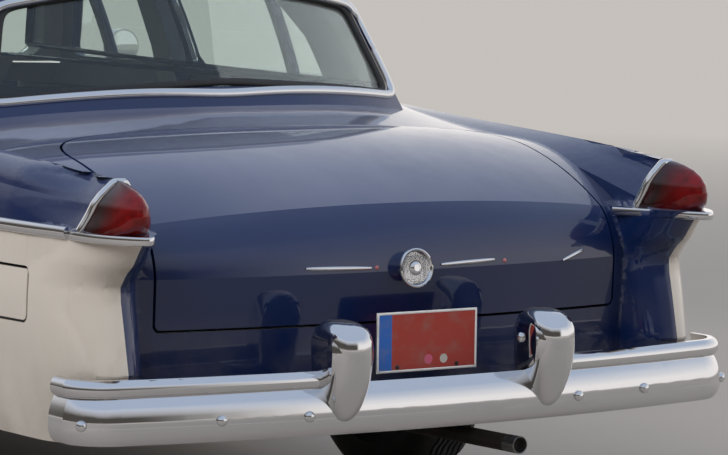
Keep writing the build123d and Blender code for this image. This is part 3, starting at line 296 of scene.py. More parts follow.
DRESSING = {
    "paint": ["rear_body", "front_wings", "fuel_flap", "door_front_left", "door_front_right",
              "door_rear_left", "door_rear_right"],
    "deck": ["boot_lid", "hood", "nose_panel", "roof", "cowl_dash"],
    "chrome": ["bumper_front", "bumper_rear", "tail_lamp_trim", "headlamp_bezels", "mirror_left",
               "mirror_right", "grille"],
    "lens": ["tail_lamps"],
    "lamp": ["headlamps"],
    "glass": ["windscreen", "rear_window", "door_glass_front_left", "door_glass_front_right",
              "door_glass_rear_left", "door_glass_rear_right"],
    "tyre": ["tyre_front_left", "tyre_front_right", "tyre_rear_left", "tyre_rear_right"],
    "wheel": ["wheel_front_left", "wheel_front_right", "wheel_rear_left", "wheel_rear_right"],
    "black": ["chassis_frame", "front_suspension", "knuckle_left", "knuckle_right", "rear_axle", "fuel_tank",
              "radiator", "seat_runners"],
    "under": ["floor_pan"],
    "iron": ["engine"],
    "exhaust": ["exhaust"],
    "rim": ["steering_wheel"],
    "plate": ["licence_plate"],
    "cloth": ["front_seat", "rear_seat"],
}
for finish, names in DRESSING.items():
    dress(finish, *names)


def line_inside(material, nodes, test):
    """Gives the faces that test(centre, normal) picks another material."""
    for node in nodes:
        mesh = NODES[node].data
        mesh.materials.append(MATERIALS[material])
        last = len(mesh.materials) - 1
        for face in mesh.polygons:
            if test(face.center, face.normal):
                face.material_index = last


def faces_in(c, n):
    """Whether a face looks towards the middle of the cabin."""
    return c.x * n.x + (c.z - 1.05) * n.z < -0.02 * abs(c.x)


DOORS = [f"door_{end}_{side}" for end in ("front", "rear") for side in ("left", "right")]
line_inside("lining", ["roof"], faces_in)
line_inside("card", DOORS, lambda c, n: n.x * c.x < -0.3 * abs(c.x))
# The hood's and lid's undersides and the wings' inner faces take the darker blue as painted shade.
line_inside("hidden_shaded", ["hood", "boot_lid"], lambda c, n: n.z < -0.3)
line_inside("hidden_shaded", ["rear_body", "front_wings"],
            lambda c, n: n.x * c.x < -0.4 * abs(c.x) and abs(c.x) > 0.845)
line_inside("dash", ["cowl_dash"], lambda c, n: -0.83 < c.y < -0.75 and c.z < 1.07)
line_inside("carpet", ["floor_pan"], lambda c, n: n.z > 0.5 and abs(c.x) < 0.85 and c.z < 0.56)


# Mesh helpers
def piece(name, points, faces, material, body, slot, smooth=True, sharp=None):
    """A mesh object in rest coordinates that rides on a body."""
    mesh = bpy.data.meshes.new(name)
    mesh.from_pydata([tuple(p) for p in points], [], faces)
    mesh.materials.append(MATERIALS[material])
    mesh.validate()
    if smooth:
        mesh.polygons.foreach_set("use_smooth", [True] * len(mesh.polygons))
        if sharp is not None:
            mesh.set_sharp_from_angle(angle=math.radians(sharp))
    made = bpy.data.objects.new(name, mesh)
    bpy.context.collection.objects.link(made)
    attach(made, body)
    return made


def swept(path, ups, profile, closed=False, scale=None):
    """Points and faces of a profile (across, up) swept along a path; ups are the outward directions."""
    points, faces = [], []
    count, ring = len(path), len(profile)
    for i, (place, up) in enumerate(zip(path, ups)):
        ahead = path[(i + 1) % count] if closed or i < count - 1 else path[i]
        behind = path[i - 1] if closed or i > 0 else path[i]
        way = (ahead - behind).normalized()
        up = (up - way * up.dot(way)).normalized()
        across = way.cross(up)
        grow = scale[i] if scale else 1.0
        points += [place + across * a * grow + up * b * grow for a, b in profile]
    for i in range(count if closed else count - 1):
        j = (i + 1) % count
        for k in range(ring):
            m = (k + 1) % ring
            faces.append((i * ring + k, j * ring + k, j * ring + m, i * ring + m))
    if not closed:
        faces.append(tuple(range(ring)))
        faces.append(tuple(reversed(range((count - 1) * ring, count * ring))))
    return points, faces


def tube(rows, ring):
    """Faces between closed rings of points, one row to the next."""
    return [(k * ring + i, k * ring + (i + 1) % ring, (k + 1) * ring + (i + 1) % ring, (k + 1) * ring + i)
            for k in range(rows - 1) for i in range(ring)]


def oval(wide, high, steps):
    """A round or flattened section for sweeping."""
    turns = [-2 * math.pi * k / steps for k in range(steps)]
    return [(wide * math.cos(a), high * math.sin(a)) for a in turns]


def crowned(width, height, steps=8, sink=0.002):
    """The section of a moulding: flat below, a crowned arc above."""
    top = [(width / 2 * math.cos(math.pi * i / steps), height * math.sin(math.pi * i / steps) ** 0.8)
           for i in range(steps + 1)]
    return top[::-1] + [(width / 2, -sink), (-width / 2, -sink)]


def lathe(profile, centre, axis, steps=48):
    """Points and faces of a profile (radius, height) turned about an axis."""
    axis = Vector(axis).normalized()
    side = axis.orthogonal().normalized()
    other = axis.cross(side)
    points = []
    for r, h in profile:
        for i in range(steps):
            a = 2 * math.pi * i / steps
            points.append(Vector(centre) + axis * h + (side * math.cos(a) + other * math.sin(a)) * r)
    faces = tube(len(profile), steps)
    faces.append(tuple(reversed(range(steps))))
    faces.append(tuple(range((len(profile) - 1) * steps, len(profile) * steps)))
    return points, faces


def joined(*parts):
    """Several point and face lists as one."""
    points, faces = [], []
    for some, their in parts:
        start = len(points)
        points += some
        faces += [tuple(i + start for i in face) for face in their]
    return points, faces


def resampled(path, step):
    """A path with points every step along it."""
    out, carry = [path[0]], 0.0
    for a, b in zip(path, path[1:]):
        length = (b - a).length
        at = step - carry
        while at < length:
            out.append(a.lerp(b, at / length))
            at += step
        carry = (carry + length) % step
    if (out[-1] - path[-1]).length > step * 0.3:
        out.append(path[-1])
    return out


# The surface of the CAD frame, to seat trim on
def surface(*nodes):
    """A tree of these nodes' faces for rays."""
    points, faces = [], []
    for node in nodes:
        mesh = NODES[node].data
        start = len(points)
        points += [v.co.copy() for v in mesh.vertices]
        faces += [tuple(i + start for i in p.vertices) for p in mesh.polygons]
    return BVHTree.FromPolygons(points, faces)


def hit(tree, start, way):
    """Where a ray meets the surface, with its outward normal."""
    way = Vector(way).normalized()
    place, normal, _, _ = tree.ray_cast(Vector(start), way)
    if place is None:
        return None
    return place, (-normal if normal.dot(way) > 0 else normal)


def seated(tree, starts, way, lift=0.0):
    """Path and normals where rays from the starts meet the surface; misses are left out."""
    found = [hit(tree, start, way) for start in starts]
    found = [f for f in found if f]
    return [p + n * lift for p, n in found], [n for p, n in found]


def side_run(side, y0, y1, z, step=0.04):
    """Starts of rays along one flank."""
    count = max(2, int(abs(y1 - y0) / step))
    return [(side * 1.4, y0 + (y1 - y0) * i / count, z) for i in range(count + 1)]


# Mouldings along the flanks, one to a panel, each riding with its panel: node, body, first and last y
MOULD_W = 0.032
MOULD_H = 0.012
RUNS = [
    ("front_wings", "body", -2.440, -0.837),
    ("door_front", "door_front", -0.823, 0.143),
    ("door_rear", "door_rear", 0.157, 1.043),
    ("rear_body", "body", 1.057, 2.440),
]
for side_name, side in SIDES:
    for node, body, y0, y1 in RUNS:
        name = node if node in NODES else f"{node}_{side_name}"
        rider = body if body == "body" else f"{body}_{side_name}"
        tree = surface(name)
        path, normals = seated(tree, side_run(side, y0, y1, MOULD_Z), (-side, 0, 0))
        points, faces = swept(path, normals, crowned(MOULD_W, MOULD_H))
        piece(f"moulding_{node}_{side_name}", points, faces, "chrome", rider, "chrome", sharp=50)

# Trim round the rear window and the windscreen
def round_screen(opening, y_start, way, tree, grow):
    """A closed path round a screen's opening, on the cabin's surface."""
    foot_x, foot_z, foot_mid, head_x, head_z, head_mid = opening

    def arc(x0, x1, z_end, z_mid, count):
        rise = z_mid - z_end
        half = abs(x1 - x0) / 2
        return [(x0 + (x1 - x0) * i / count, z_end + rise * (1 - ((x0 + (x1 - x0) * i / count) / half) ** 2))
                for i in range(count + 1)]

    foot = arc(-foot_x, foot_x, foot_z, foot_mid, 60)
    head = arc(head_x, -head_x, head_z, head_mid, 60)
    outline = foot + head
    centre = Vector((0.0, (foot_mid + head_mid) / 2))
    loop = [Vector((p[0], p[1])) for p in outline]
    loop = rounded(loop)
    loop = [p + (p - centre).normalized() * grow for p in loop]
    found = [hit(tree, (p.x, y_start, p.y), way) for p in loop]
    found = [f for f in found if f]
    return [p for p, n in found], [n for p, n in found]


def rounded(loop, passes=10):
    """A closed loop resampled evenly, its corners softened."""
    total = [Vector((p.x, p.y, 0.0)) for p in loop + [loop[0]]]
    even = resampled(total, 0.012)[:-1]
    for _ in range(passes):
        even = [(even[i - 1] + even[i] * 2 + even[(i + 1) % len(even)]) / 4 for i in range(len(even))]
    return [Vector((p.x, p.y)) for p in even]


SCREENS = [
    ("rear", (0.634, 1.116, 1.156, 0.556, 1.362, 1.420), 3.0, (0, -1, 0)),
    ("front", (0.668, 1.130, 1.140, 0.560, 1.432, 1.464), -3.0, (0, 1, 0)),
]
ROOF = surface("roof", "rear_body", "cowl_dash")
for name, opening, y_start, way in SCREENS:
    path, normals = round_screen(opening, y_start, way, ROOF, 0.016)
    points, faces = swept(path, normals, crowned(0.026, 0.010), closed=True)
    piece(f"screen_trim_{name}", points, faces, "satin", "body", "chrome", sharp=50)
    path, normals = round_screen(opening, y_start, way, surface("windscreen", "rear_window"), -0.012)
    points, faces = swept(path, normals, crowned(0.022, 0.009), closed=True)
    piece(f"screen_gasket_{name}", points, faces, "gasket", "body", "black_steel", sharp=50)

# The medallion on the boot lid, with a plain bar on each side
LID = surface("boot_lid")
place, normal = hit(LID, (0.0, 3.2, 0.747), (0, -1, 0))
dish = [(0.0300, -0.006), (0.0340, 0.004), (0.0455, 0.020), (0.0485, 0.0235), (0.0500, 0.0265),
        (0.0490, 0.0300),
        (0.0460, 0.0315), (0.0430, 0.0295), (0.0415, 0.0265), (0.0400, 0.0240)]
face = [(0.0405, 0.0240), (0.0250, 0.0215), (0.0010, 0.0210)]
hub = [(0.0190, 0.0205), (0.0185, 0.0255), (0.0150, 0.0300), (0.0100, 0.0325), (0.0085, 0.0325),
       (0.0080, 0.0315), (0.0010, 0.0318)]
piece("medallion_face", *lathe(face, place, normal, 64), "deck", "boot_lid", "blue_paint", sharp=40)
piece("medallion_hub", *lathe(hub, place, normal, 48), "chrome", "boot_lid", "chrome", sharp=40)
piece("medallion", *lathe(dish, place, normal, 64), "chrome", "boot_lid", "chrome", sharp=40)
for name, x0, x1, z0, z1, width in (("bar_left", 0.115, 0.300, 0.752, 0.757, 0.011),
                                    ("bar_right", -0.095, -0.265, 0.752, 0.757, 0.011),
                                    ("badge_right", -0.500, -0.575, 0.742, 0.765, 0.010)):
    starts = [(x0 + (x1 - x0) * i / 12, 3.2, z0 + (z1 - z0) * i / 12) for i in range(13)]
    path, normals = seated(LID, starts, (0, -1, 0))
    taper = [0.55 + 0.45 * math.sin(math.pi * i / 12) ** 0.5 for i in range(13)]
    points, faces = swept(path, normals, crowned(width, 0.005), scale=taper)
    piece(name, points, faces, "chrome", "boot_lid", "chrome", sharp=50)

# The tail lamp's form: height, rearmost point and half-width at the lamp's seat
LAMP_X = 0.8215
LAMP_FOOT = 0.868
LAMP_ROWS = [
    (0.868, 2.582, 0.0860), (0.880, 2.597, 0.0815), (0.892, 2.606, 0.0755), (0.912, 2.612, 0.0665),
    (0.935, 2.608, 0.0585), (0.957, 2.590, 0.0440), (0.972, 2.563, 0.0300), (0.983, 2.528, 0.0190),
    (0.990, 2.492, 0.0095), (0.9935, 2.464, 0.0010),
]
# The rearmost line of the wing below the lamp
WING_END = [(0.300, 2.360), (0.430, 2.440), (0.526, 2.527), (0.638, 2.502), (0.700, 2.487), (0.735, 2.484),
            (0.768, 2.511), (0.792, 2.544), (0.828, 2.572), (0.848, 2.590), (0.868, 2.606)]


def between(rows, at, column=1):
    """A column of a table read at a value of its first column."""
    if at <= rows[0][0]:
        return rows[0][column]
    for low, high in zip(rows, rows[1:]):
        if at <= high[0]:
            part = (at - low[0]) / (high[0] - low[0])
            return low[column] + (high[column] - low[column]) * part
    return rows[-1][column]


def eased(value, low, high):
    """0 below low, 1 above high, smooth between."""
    part = min(1.0, max(0.0, (value - low) / (high - low)))
    return part * part * (3 - 2 * part)


def lamp_front(z):
    """Where the leaning seat of the lamp lies at this height."""
    return 2.420 + (z - LAMP_FOOT) / 3.0


def lamp_half(z, inner):
    """The lamp's half-width at its seat, narrower towards the boot lid."""
    return between(LAMP_ROWS, z, 2) * (0.80 if inner else 1.0)


def lens_mesh(side, steps=36):
    """The red lens, pointed like an arch from behind and round in plan."""
    points, faces = [], []
    levels = [LAMP_FOOT + (LAMP_ROWS[-1][0] - LAMP_FOOT) * (1 - (1 - k / 28) ** 1.7) for k in range(29)]
    for z in levels:
        front, tip = lamp_front(z) - 0.004, between(LAMP_ROWS, z)
        middle = LAMP_X + 0.014
        for i in range(steps + 1):
            a = math.pi * i / steps
            half = lamp_half(z, a > math.pi / 2)
            shift = LAMP_X + (middle - LAMP_X) * math.sin(a) ** 2
            y = front + (tip - front) * math.sin(a) ** 0.94
            points.append(Vector((side * (shift + half * math.cos(a)), y, z)))
    ring = steps + 1
    for k in range(len(levels) - 1):
        for i in range(steps):
            face = (k * ring + i, k * ring + i + 1, (k + 1) * ring + i + 1, (k + 1) * ring + i)
            faces.append(face if side > 0 else face[::-1])
    base = tuple(range(ring))
    faces.append(base[::-1] if side > 0 else base)
    return points, faces


# The blade's outline (x, y) seen from above, and its edge as (inset, height)
BLADE = [(0.9255, 2.395), (0.9262, 2.440), (0.9200, 2.500), (0.9020, 2.556), (0.8740, 2.606),
         (0.8500, 2.636), (0.8340, 2.645), (0.8200, 2.637), (0.7980, 2.600), (0.7720, 2.545),
         (0.7460, 2.485), (0.7180, 2.425), (0.7040, 2.395)]
BLADE_EDGE = [(0.0100, 0.8470), (0.0030, 0.8475), (0.0, 0.8510), (0.0, 0.8640), (0.0020, 0.8680),
              (0.0090, 0.8690)]


def blade_mesh(side):
    """The bright blade under the lens."""
    line = [Vector((x, y, 0.0)) for x, y in BLADE]
    line = resampled(line, 0.008)
    for _ in range(5):
        inner = [(a + b * 2 + c) / 4 for a, b, c in zip(line, line[1:], line[2:])]
        line = [line[0]] + inner + [line[-1]]
    points, faces = [], []
    count = len(line)
    for inset, z in BLADE_EDGE:
        for i, p in enumerate(line):
            way = (line[min(i + 1, count - 1)] - line[max(i - 1, 0)]).normalized()
            into = Vector((way.y, -way.x, 0.0))
            if into.dot(Vector((0.82, 2.40, 0.0)) - p) < 0:
                into = -into
            q = p + into * inset
            points.append(Vector((side * q.x, q.y, z)))
    for k in range(len(BLADE_EDGE) - 1):
        for i in range(count - 1):
            face = (k * count + i, k * count + i + 1, (k + 1) * count + i + 1, (k + 1) * count + i)
            faces.append(face if side > 0 else face[::-1])
    low, high = tuple(range(count)), tuple(range((len(BLADE_EDGE) - 1) * count, len(BLADE_EDGE) * count))
    faces.append(low[::-1] if side > 0 else low)
    faces.append(high if side > 0 else high[::-1])
    return points, faces


def lamp_band(side):
    """The bright band round the front of the lens."""
    path, ups = [], []
    rise = LAMP_ROWS[-1][0] - LAMP_FOOT
    levels = [LAMP_FOOT - 0.006 + rise * (1 - (1 - k / 24) ** 1.6) for k in range(25)]
    outer = [Vector((LAMP_X + lamp_half(z, False), lamp_front(z) + 0.010, z)) for z in levels]
    inner = [Vector((LAMP_X - lamp_half(z, True), lamp_front(z) + 0.010, z)) for z in levels[::-1]]
    line = outer + inner
    for i, p in enumerate(line):
        way = (line[min(i + 1, len(line) - 1)] - line[max(i - 1, 0)]).normalized()
        out = way.cross(Vector((0, 1, 0))).normalized()
        if out.dot(p - Vector((LAMP_X, p.y, LAMP_FOOT))) < 0:
            out = -out
        path.append(Vector((side * p.x, p.y, p.z)))
        ups.append(Vector((side * out.x, out.y, out.z)))
    return swept(path, ups, crowned(0.026, 0.0085, sink=0.010))


for side_name, side in SIDES:
    lens_piece = piece(f"tail_lens_{side_name}", *lens_mesh(side), "lens", "body", "red_lens", sharp=60)
    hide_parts("tail_lamps")
    blade_piece = piece(f"tail_blade_{side_name}", *blade_mesh(side), "chrome", "body", "chrome", sharp=50)
    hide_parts("tail_lamp_trim")
    piece(f"tail_band_{side_name}", *lamp_band(side), "chrome", "body", "chrome", sharp=50)


# The rear body with its wing ends drawn in round, as a fitted skin in place of the plainer CAD one
def shaped_rear():
    """A copy of the rear body whose wing ends narrow to the lamps."""
    tree = surface("rear_body")
    mesh = NODES["rear_body"].data.copy()
    body = bmesh.new()
    body.from_mesh(mesh)
    ranges = ((1, 2.10, 2.62, 0.020), (2, 0.34, 1.00, 0.018), (0, 0.70, 0.97, 0.016))
    for axis, low, high, step in ranges:
        for k in range(int((high - low) / step) + 1):
            for sign in ((1, -1) if axis == 0 else (1,)):
                near = [f for f in body.faces
                        if f.calc_center_median().y > 2.05 and abs(f.calc_center_median().x) > 0.66]
                geom = list({e for f in near for e in f.edges})
                geom += list({v for f in near for v in f.verts}) + near
                at = Vector((0, 0, 0))
                at[axis] = sign * (low + k * step)
                way = Vector((0, 0, 0))
                way[axis] = 1.0
                bmesh.ops.bisect_plane(body, geom=geom, plane_co=at, plane_no=way, dist=1e-5)
    for v in body.verts:
        x, y, z = v.co
        side = 1.0 if x > 0 else -1.0
        x = abs(x)
        if y < 2.06 or x < 0.70:
            continue
        if z <= LAMP_FOOT + 0.002 and y > 2.256:
            middle = Vector((0.826, 2.255))
            ray = Vector((x, y)) - middle
            if ray.length < 1e-4 or ray.y <= 0:
                continue
            way = ray.normalized()
            start = middle + way * 0.70
            met = hit(tree, (side * start.x, start.y, z), (-side * way.x, -way.y, 0.0))
            if not met:
                continue
            now = (Vector((abs(met[0].x), met[0].y)) - middle).length
            wide = hit(tree, (side * 1.3, 2.258, z), (-side, 0, 0))
            half = (abs(wide[0].x) - middle.x) if way.x > 0 and wide else 0.112
            length = between(WING_END, z) - middle.y
            new = 1.0 / math.sqrt((way.x / half) ** 2 + (way.y / length) ** 2)
            ratio = new / max(now, 1e-4)
            if ray.length > now + 0.004:
                continue
            part = eased(x, 0.700, 0.752) * eased(y, 2.256, 2.290)
            moved = middle + ray * (1 + (ratio - 1) * part)
            v.co.x, v.co.y = side * moved.x, moved.y
        elif z > LAMP_FOOT - 0.02 and x > LAMP_X:
            met = hit(tree, (side * 1.3, min(y, 2.425), z), (-side, 0, 0))
            if not met or abs(met[0].x) - LAMP_X < 0.004:
                continue
            new = lamp_half(z, False) + 0.003
            ratio = new / (abs(met[0].x) - LAMP_X)
            part = eased(y, 2.10, 2.42)
            v.co.x = side * (LAMP_X + (x - LAMP_X) * (1 + (ratio - 1) * part))
    body.to_mesh(mesh)
    body.free()
    for polygon in mesh.polygons:
        polygon.use_smooth = True
    mesh.set_sharp_from_angle(angle=math.radians(28))
    made = bpy.data.objects.new("rear_body_skin", mesh)
    bpy.context.collection.objects.link(made)
    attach(made, "body")
    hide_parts("rear_body")


shaped_rear()

# Bumper guards: deep rounded horns over the plainer CAD ones
# Rows of (height, front, half-width)
GUARD = [(0.394, 2.640, 0.010), (0.400, 2.664, 0.022), (0.412, 2.682, 0.033), (0.432, 2.697, 0.043),
         (0.460, 2.712, 0.051), (0.500, 2.728, 0.0575), (0.545, 2.7365, 0.0605), (0.585, 2.7380, 0.0610),
         (0.608, 2.7330, 0.0590), (0.626, 2.7180, 0.0530), (0.638, 2.6950, 0.0440), (0.645, 2.6650, 0.0320),
         (0.648, 2.6350, 0.0160)]


def guard_section(front, half, z, x0):
    """The guard's outline at one height: flat flanks, and a front with a soft ridge."""
    back = min(2.590 + max(0.0, z - 0.60) * 0.55, front - 0.012)
    depth = front - back
    side = [(0.0, back), (half * 0.80, back), (half, back + depth * 0.10), (half * 1.0, back + depth * 0.45),
            (half * 0.93, back + depth * 0.74), (half * 0.66, back + depth * 0.93), (half * 0.24, front),
            (0.0, front)]
    loop = side + [(-x, y) for x, y in side[-2:0:-1]]
    for _ in range(2):
        loop = [p for a, b in zip(loop, loop[1:] + loop[:1])
                for p in ((a[0] * 0.75 + b[0] * 0.25, a[1] * 0.75 + b[1] * 0.25),
                          (a[0] * 0.25 + b[0] * 0.75, a[1] * 0.25 + b[1] * 0.75))]
    return [Vector((x0 + x, y, z)) for x, y in loop]


def spread(rows, count):
    """A table read at evenly spread rows, smooth between them."""
    out = []
    for k in range(count + 1):
        at = k * (len(rows) - 1) / count
        i = min(int(at), len(rows) - 2)
        t = at - i
        a, b, c, d = (rows[max(i - 1, 0)], rows[i], rows[i + 1], rows[min(i + 2, len(rows) - 1)])
        out.append([0.5 * (2 * q + (r - p) * t + (2 * p - 5 * q + 4 * r - s) * t * t
                           + (3 * q - p - 3 * r + s) * t ** 3) for p, q, r, s in zip(a, b, c, d)])
    return out


for side_name, side in SIDES:
    points = []
    rows = spread(GUARD, 40)
    for z, front, half in rows:
        points += guard_section(front, max(half, 0.004), z, side * 0.303)
    ring = len(points) // len(rows)
    faces = tube(len(rows), ring)
    faces.append(tuple(reversed(range(ring))))
    faces.append(tuple(range(len(points) - ring, len(points))))
    piece(f"bumper_guard_{side_name}", points, faces, "chrome", "body", "chrome", sharp=60)

# Button bolts on the rear bumper
BUMPER = surface("bumper_rear")
BUTTON = [(0.0135, -0.004), (0.0135, 0.003), (0.0120, 0.007), (0.0080, 0.010), (0.0040, 0.0115),
          (0.001, 0.012)]
parts = []
for x, z in ((0.403, 0.421), (0.633, 0.423)):
    for side in (1, -1):
        place, normal = hit(BUMPER, (side * x, 3.2, z), (0, -1, 0))
        parts.append(lathe(BUTTON, place, normal, 24))
for side in (1, -1):
    place, normal = hit(BUMPER, (side * 1.4, 2.540, 0.420), (-side, 0, 0))
    parts.append(lathe(BUTTON, place, normal, 24))
    parts.append(lathe(BUTTON, (side * 0.2425, 2.634, 0.575), (-side, 0, 0), 24))
piece("bumper_buttons", *joined(*parts), "chrome", "body", "chrome", sharp=50)

# The licence plate's face with its rolled rim, and its two screws
def rounded_rect(half_x, half_z, radius, steps=6):
    """Corner-rounded outline points (x, z) round the origin."""
    out = []
    for sx, sz, a0 in ((1, 1, 0), (-1, 1, 90), (-1, -1, 180), (1, -1, 270)):
        for i in range(steps + 1):
            a = math.radians(a0 + 90 * i / steps)
            out.append((sx * (half_x - radius) + radius * math.cos(a),
                        sz * (half_z - radius) + radius * math.sin(a)))
    return out


PLATE_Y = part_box("licence_plate")[1].y
PLATE_RIM = ((0.0, -0.0028), (0.0, 0.0006), (0.0015, 0.0016), (0.0045, 0.0016), (0.0060, 0.0006))
points = []
for shrink, lift in PLATE_RIM:
    points += [Vector((x, PLATE_Y + lift - 0.0008, PLATE_MID_Z + z))
               for x, z in rounded_rect(0.150 - shrink, 0.075 - shrink, 0.010)]
ring = len(points) // len(PLATE_RIM)
faces = tube(len(PLATE_RIM), ring)
faces.append(tuple(range(len(points) - ring, len(points))))
faces.append(tuple(reversed(range(ring))))
piece("plate_face", points, faces, "plate", "body", "plate_paint", sharp=35)
parts = [lathe([(0.0055, 0.0), (0.0055, 0.0016), (0.0035, 0.0026), (0.0008, 0.0028)],
               (x, PLATE_Y - 0.0006, 0.512), (0, 1, 0), 16) for x in (-0.089, 0.089)]
piece("plate_screws", *joined(*parts), "black", "body", "black_steel", sharp=50)

# Small pink reflectors on each side of the lid's plain bars
parts = []
for x in (0.098, -0.300):
    place, normal = hit(LID, (x, 3.2, 0.752), (0, -1, 0))
    jewel = [(0.006, -0.002), (0.006, 0.001), (0.004, 0.003), (0.0008, 0.0035)]
    parts.append(lathe(jewel, place, normal, 16))
piece("lid_jewels", *joined(*parts), "jewel", "boot_lid", "red_lens", sharp=50)


# Tyres with grooved tread, standing for the plain CAD ones
def tyre_rings():
    """The tyre's section (radius, across) with tread grooves and sidewall ribs."""
    side = [(0.2045, 0.060), (0.214, 0.067), (0.217, 0.078), (0.232, 0.0865), (0.244, 0.0915),
            (0.247, 0.0935), (0.250, 0.0925), (0.275, 0.0955), (0.298, 0.0935), (0.318, 0.0885),
            (0.328, 0.0845), (0.337, 0.0790), (0.3435, 0.0725), (0.3490, 0.0655), (0.3520, 0.0580)]
    tread = []
    for x in (0.045, 0.026, 0.0085):
        tread += [(0.3542, x + 0.0055), (0.3470, x + 0.0040), (0.3470, x - 0.0005), (0.3545, x - 0.0020)]
    half = side + tread
    return half + [(r, -h) for r, h in reversed(half)]


def tyre_mesh(centre, side, steps=144):
    """Points and faces of one tyre, its grooves running in a zigzag."""
    rings = tyre_rings()
    points = []
    for r, h in rings:
        for i in range(steps):
            a = 2 * math.pi * i / steps
            wave = 0.0022 * (1 if (i // 2) % 2 else -1) if r > 0.346 and abs(h) < 0.054 else 0.0
            notch = -0.004 if 0.342 < r < 0.3525 and abs(h) > 0.055 and i % 4 == 0 else 0.0
            rr = r + notch
            points.append(Vector((centre[0] + side * (h + wave), centre[1] + rr * math.sin(a),
                                  centre[2] + rr * math.cos(a))))
    faces = [(a, d, c, b) for a, b, c, d in tube(len(rings), steps)]
    last = (len(rings) - 1) * steps
    for i in range(steps):
        j = (i + 1) % steps
        faces.append((last + i, i, j, last + j))
    return points, faces


# Turned sections (radius, outward)
HUBCAP = [(0.128, 0.050), (0.1285, 0.056), (0.124, 0.062), (0.112, 0.066), (0.104, 0.064), (0.098, 0.066),
          (0.085, 0.073), (0.060, 0.079), (0.034, 0.082), (0.030, 0.0795), (0.026, 0.082), (0.014, 0.085),
          (0.001, 0.086)]
RIM_RING = [(0.1925, 0.058), (0.190, 0.068), (0.194, 0.0755), (0.203, 0.0785), (0.211, 0.0780),
            (0.214, 0.0745), (0.210, 0.0715)]
AXLES = (("front", -1.800), ("rear", 1.299))
HALF_TRACK = 0.768
WHEEL_Z = 0.355
for end, y in AXLES:
    for side_name, side in SIDES:
        wheel = f"{end}_{side_name}"
        centre = Vector((side * HALF_TRACK, y, WHEEL_Z))
        points, faces = tyre_mesh(centre, side)
        tyre = piece(f"tread_{wheel}", points, faces, "tyre", f"wheel_{wheel}", "tyre", sharp=35)
        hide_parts(f"tyre_{wheel}")
        points, faces = lathe(HUBCAP, centre, (side, 0, 0), 64)
        piece(f"hubcap_{wheel}", points, faces, "chrome", f"wheel_{wheel}", "chrome", sharp=60)
        points, faces = lathe(RIM_RING, centre, (side, 0, 0), 72)
        piece(f"rim_ring_{wheel}", points, faces[:-2], "chrome", f"wheel_{wheel}", "chrome", sharp=60)


# Headlamps: domed glass over a bright bowl, standing for the CAD bowls
HEADLAMP_X = 0.752
HEADLAMP_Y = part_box("headlamp_bezels")[0].y + 0.026
HEADLAMP_Z = 0.790
HEADLAMP_GLASS = [(0.084, 0.0), (0.080, 0.010), (0.068, 0.018), (0.048, 0.0235), (0.024, 0.026),
                  (0.001, 0.027)]
HEADLAMP_BOWL = [(0.084, -0.002), (0.078, -0.018), (0.062, -0.040), (0.040, -0.058), (0.016, -0.066),
                 (0.012, -0.030), (0.001, -0.028)]
for side_name, side in SIDES:
    centre = (side * HEADLAMP_X, HEADLAMP_Y, HEADLAMP_Z)
    turned = lathe(HEADLAMP_GLASS, centre, (0, -1, 0), 64)
    glass_piece = piece(f"headlamp_glass_{side_name}", *turned, "lamp", "body", "lamp_glass", sharp=60)
    turned = lathe(HEADLAMP_BOWL, centre, (0, -1, 0), 48)
    piece(f"headlamp_bowl_{side_name}", *turned, "mirror", "body", "chrome", sharp=60)
    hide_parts("headlamps")

# Round parking lamps under the headlamps
WINGS = surface("front_wings")
PARKING_Z = 0.610
PARKING_RING = [(0.040, -0.004), (0.040, 0.006), (0.036, 0.009), (0.031, 0.006)]
PARKING_LENS = [(0.0315, 0.0), (0.0300, 0.008), (0.022, 0.013), (0.010, 0.0155), (0.001, 0.016)]
for side_name, side in SIDES:
    place, normal = hit(WINGS, (side * HEADLAMP_X, -4.0, PARKING_Z), (0, 1, 0))
    turned = lathe(PARKING_RING, place, normal, 40)
    piece(f"parking_ring_{side_name}", *turned, "chrome", "body", "chrome", sharp=50)
    turned = lathe(PARKING_LENS, place, normal, 40)
    piece(f"parking_lens_{side_name}", *turned, "amber", "body", "lamp_glass", sharp=60)

# A bright strip and a plain spear on the hood
HOOD = surface("hood")
starts = [(0.0, -1.080 - 1.30 * i / 40, 3.0) for i in range(41)]
path, normals = seated(HOOD, starts, (0, 0, -1))
points, faces = swept(path, normals, crowned(0.018, 0.007))
piece("hood_strip", points, faces, "chrome", "hood", "chrome", sharp=50)
path = [Vector((0, -2.10 - 0.34 * i / 16, 0.0)) for i in range(17)]
seat = [hit(HOOD, (0, p.y, 3.0), (0, 0, -1))[0].z for p in path]
path = [Vector((0, p.y, z + 0.018 + 0.012 * math.sin(math.pi * i / 16)))
        for i, (p, z) in enumerate(zip(path, seat))]
wide = [max(0.12, math.sin(math.pi * (i + 1.5) / 19) ** 0.7) for i in range(17)]
points, faces = swept(path, [Vector((0, 0, 1))] * 17, oval(0.020, 0.016, 16), scale=wide)
piece("hood_spear", points, faces, "chrome", "hood", "chrome", sharp=60)

# Bright frames round the door windows, pull handles and lock buttons; window corners as (y, z)
WINDOW_LOOPS = {
    "front": [(-0.560, 1.142), (-0.372, 1.392), (0.088, 1.396), (0.112, 1.142)],
    "rear": [(0.198, 1.142), (0.176, 1.396), (0.770, 1.386), (0.905, 1.310), (0.985, 1.142)],
}
HANDLE_Y = {"front": 0.060, "rear": 0.960}
HANDLE_Z = 0.925
LOCK_Z = 0.892


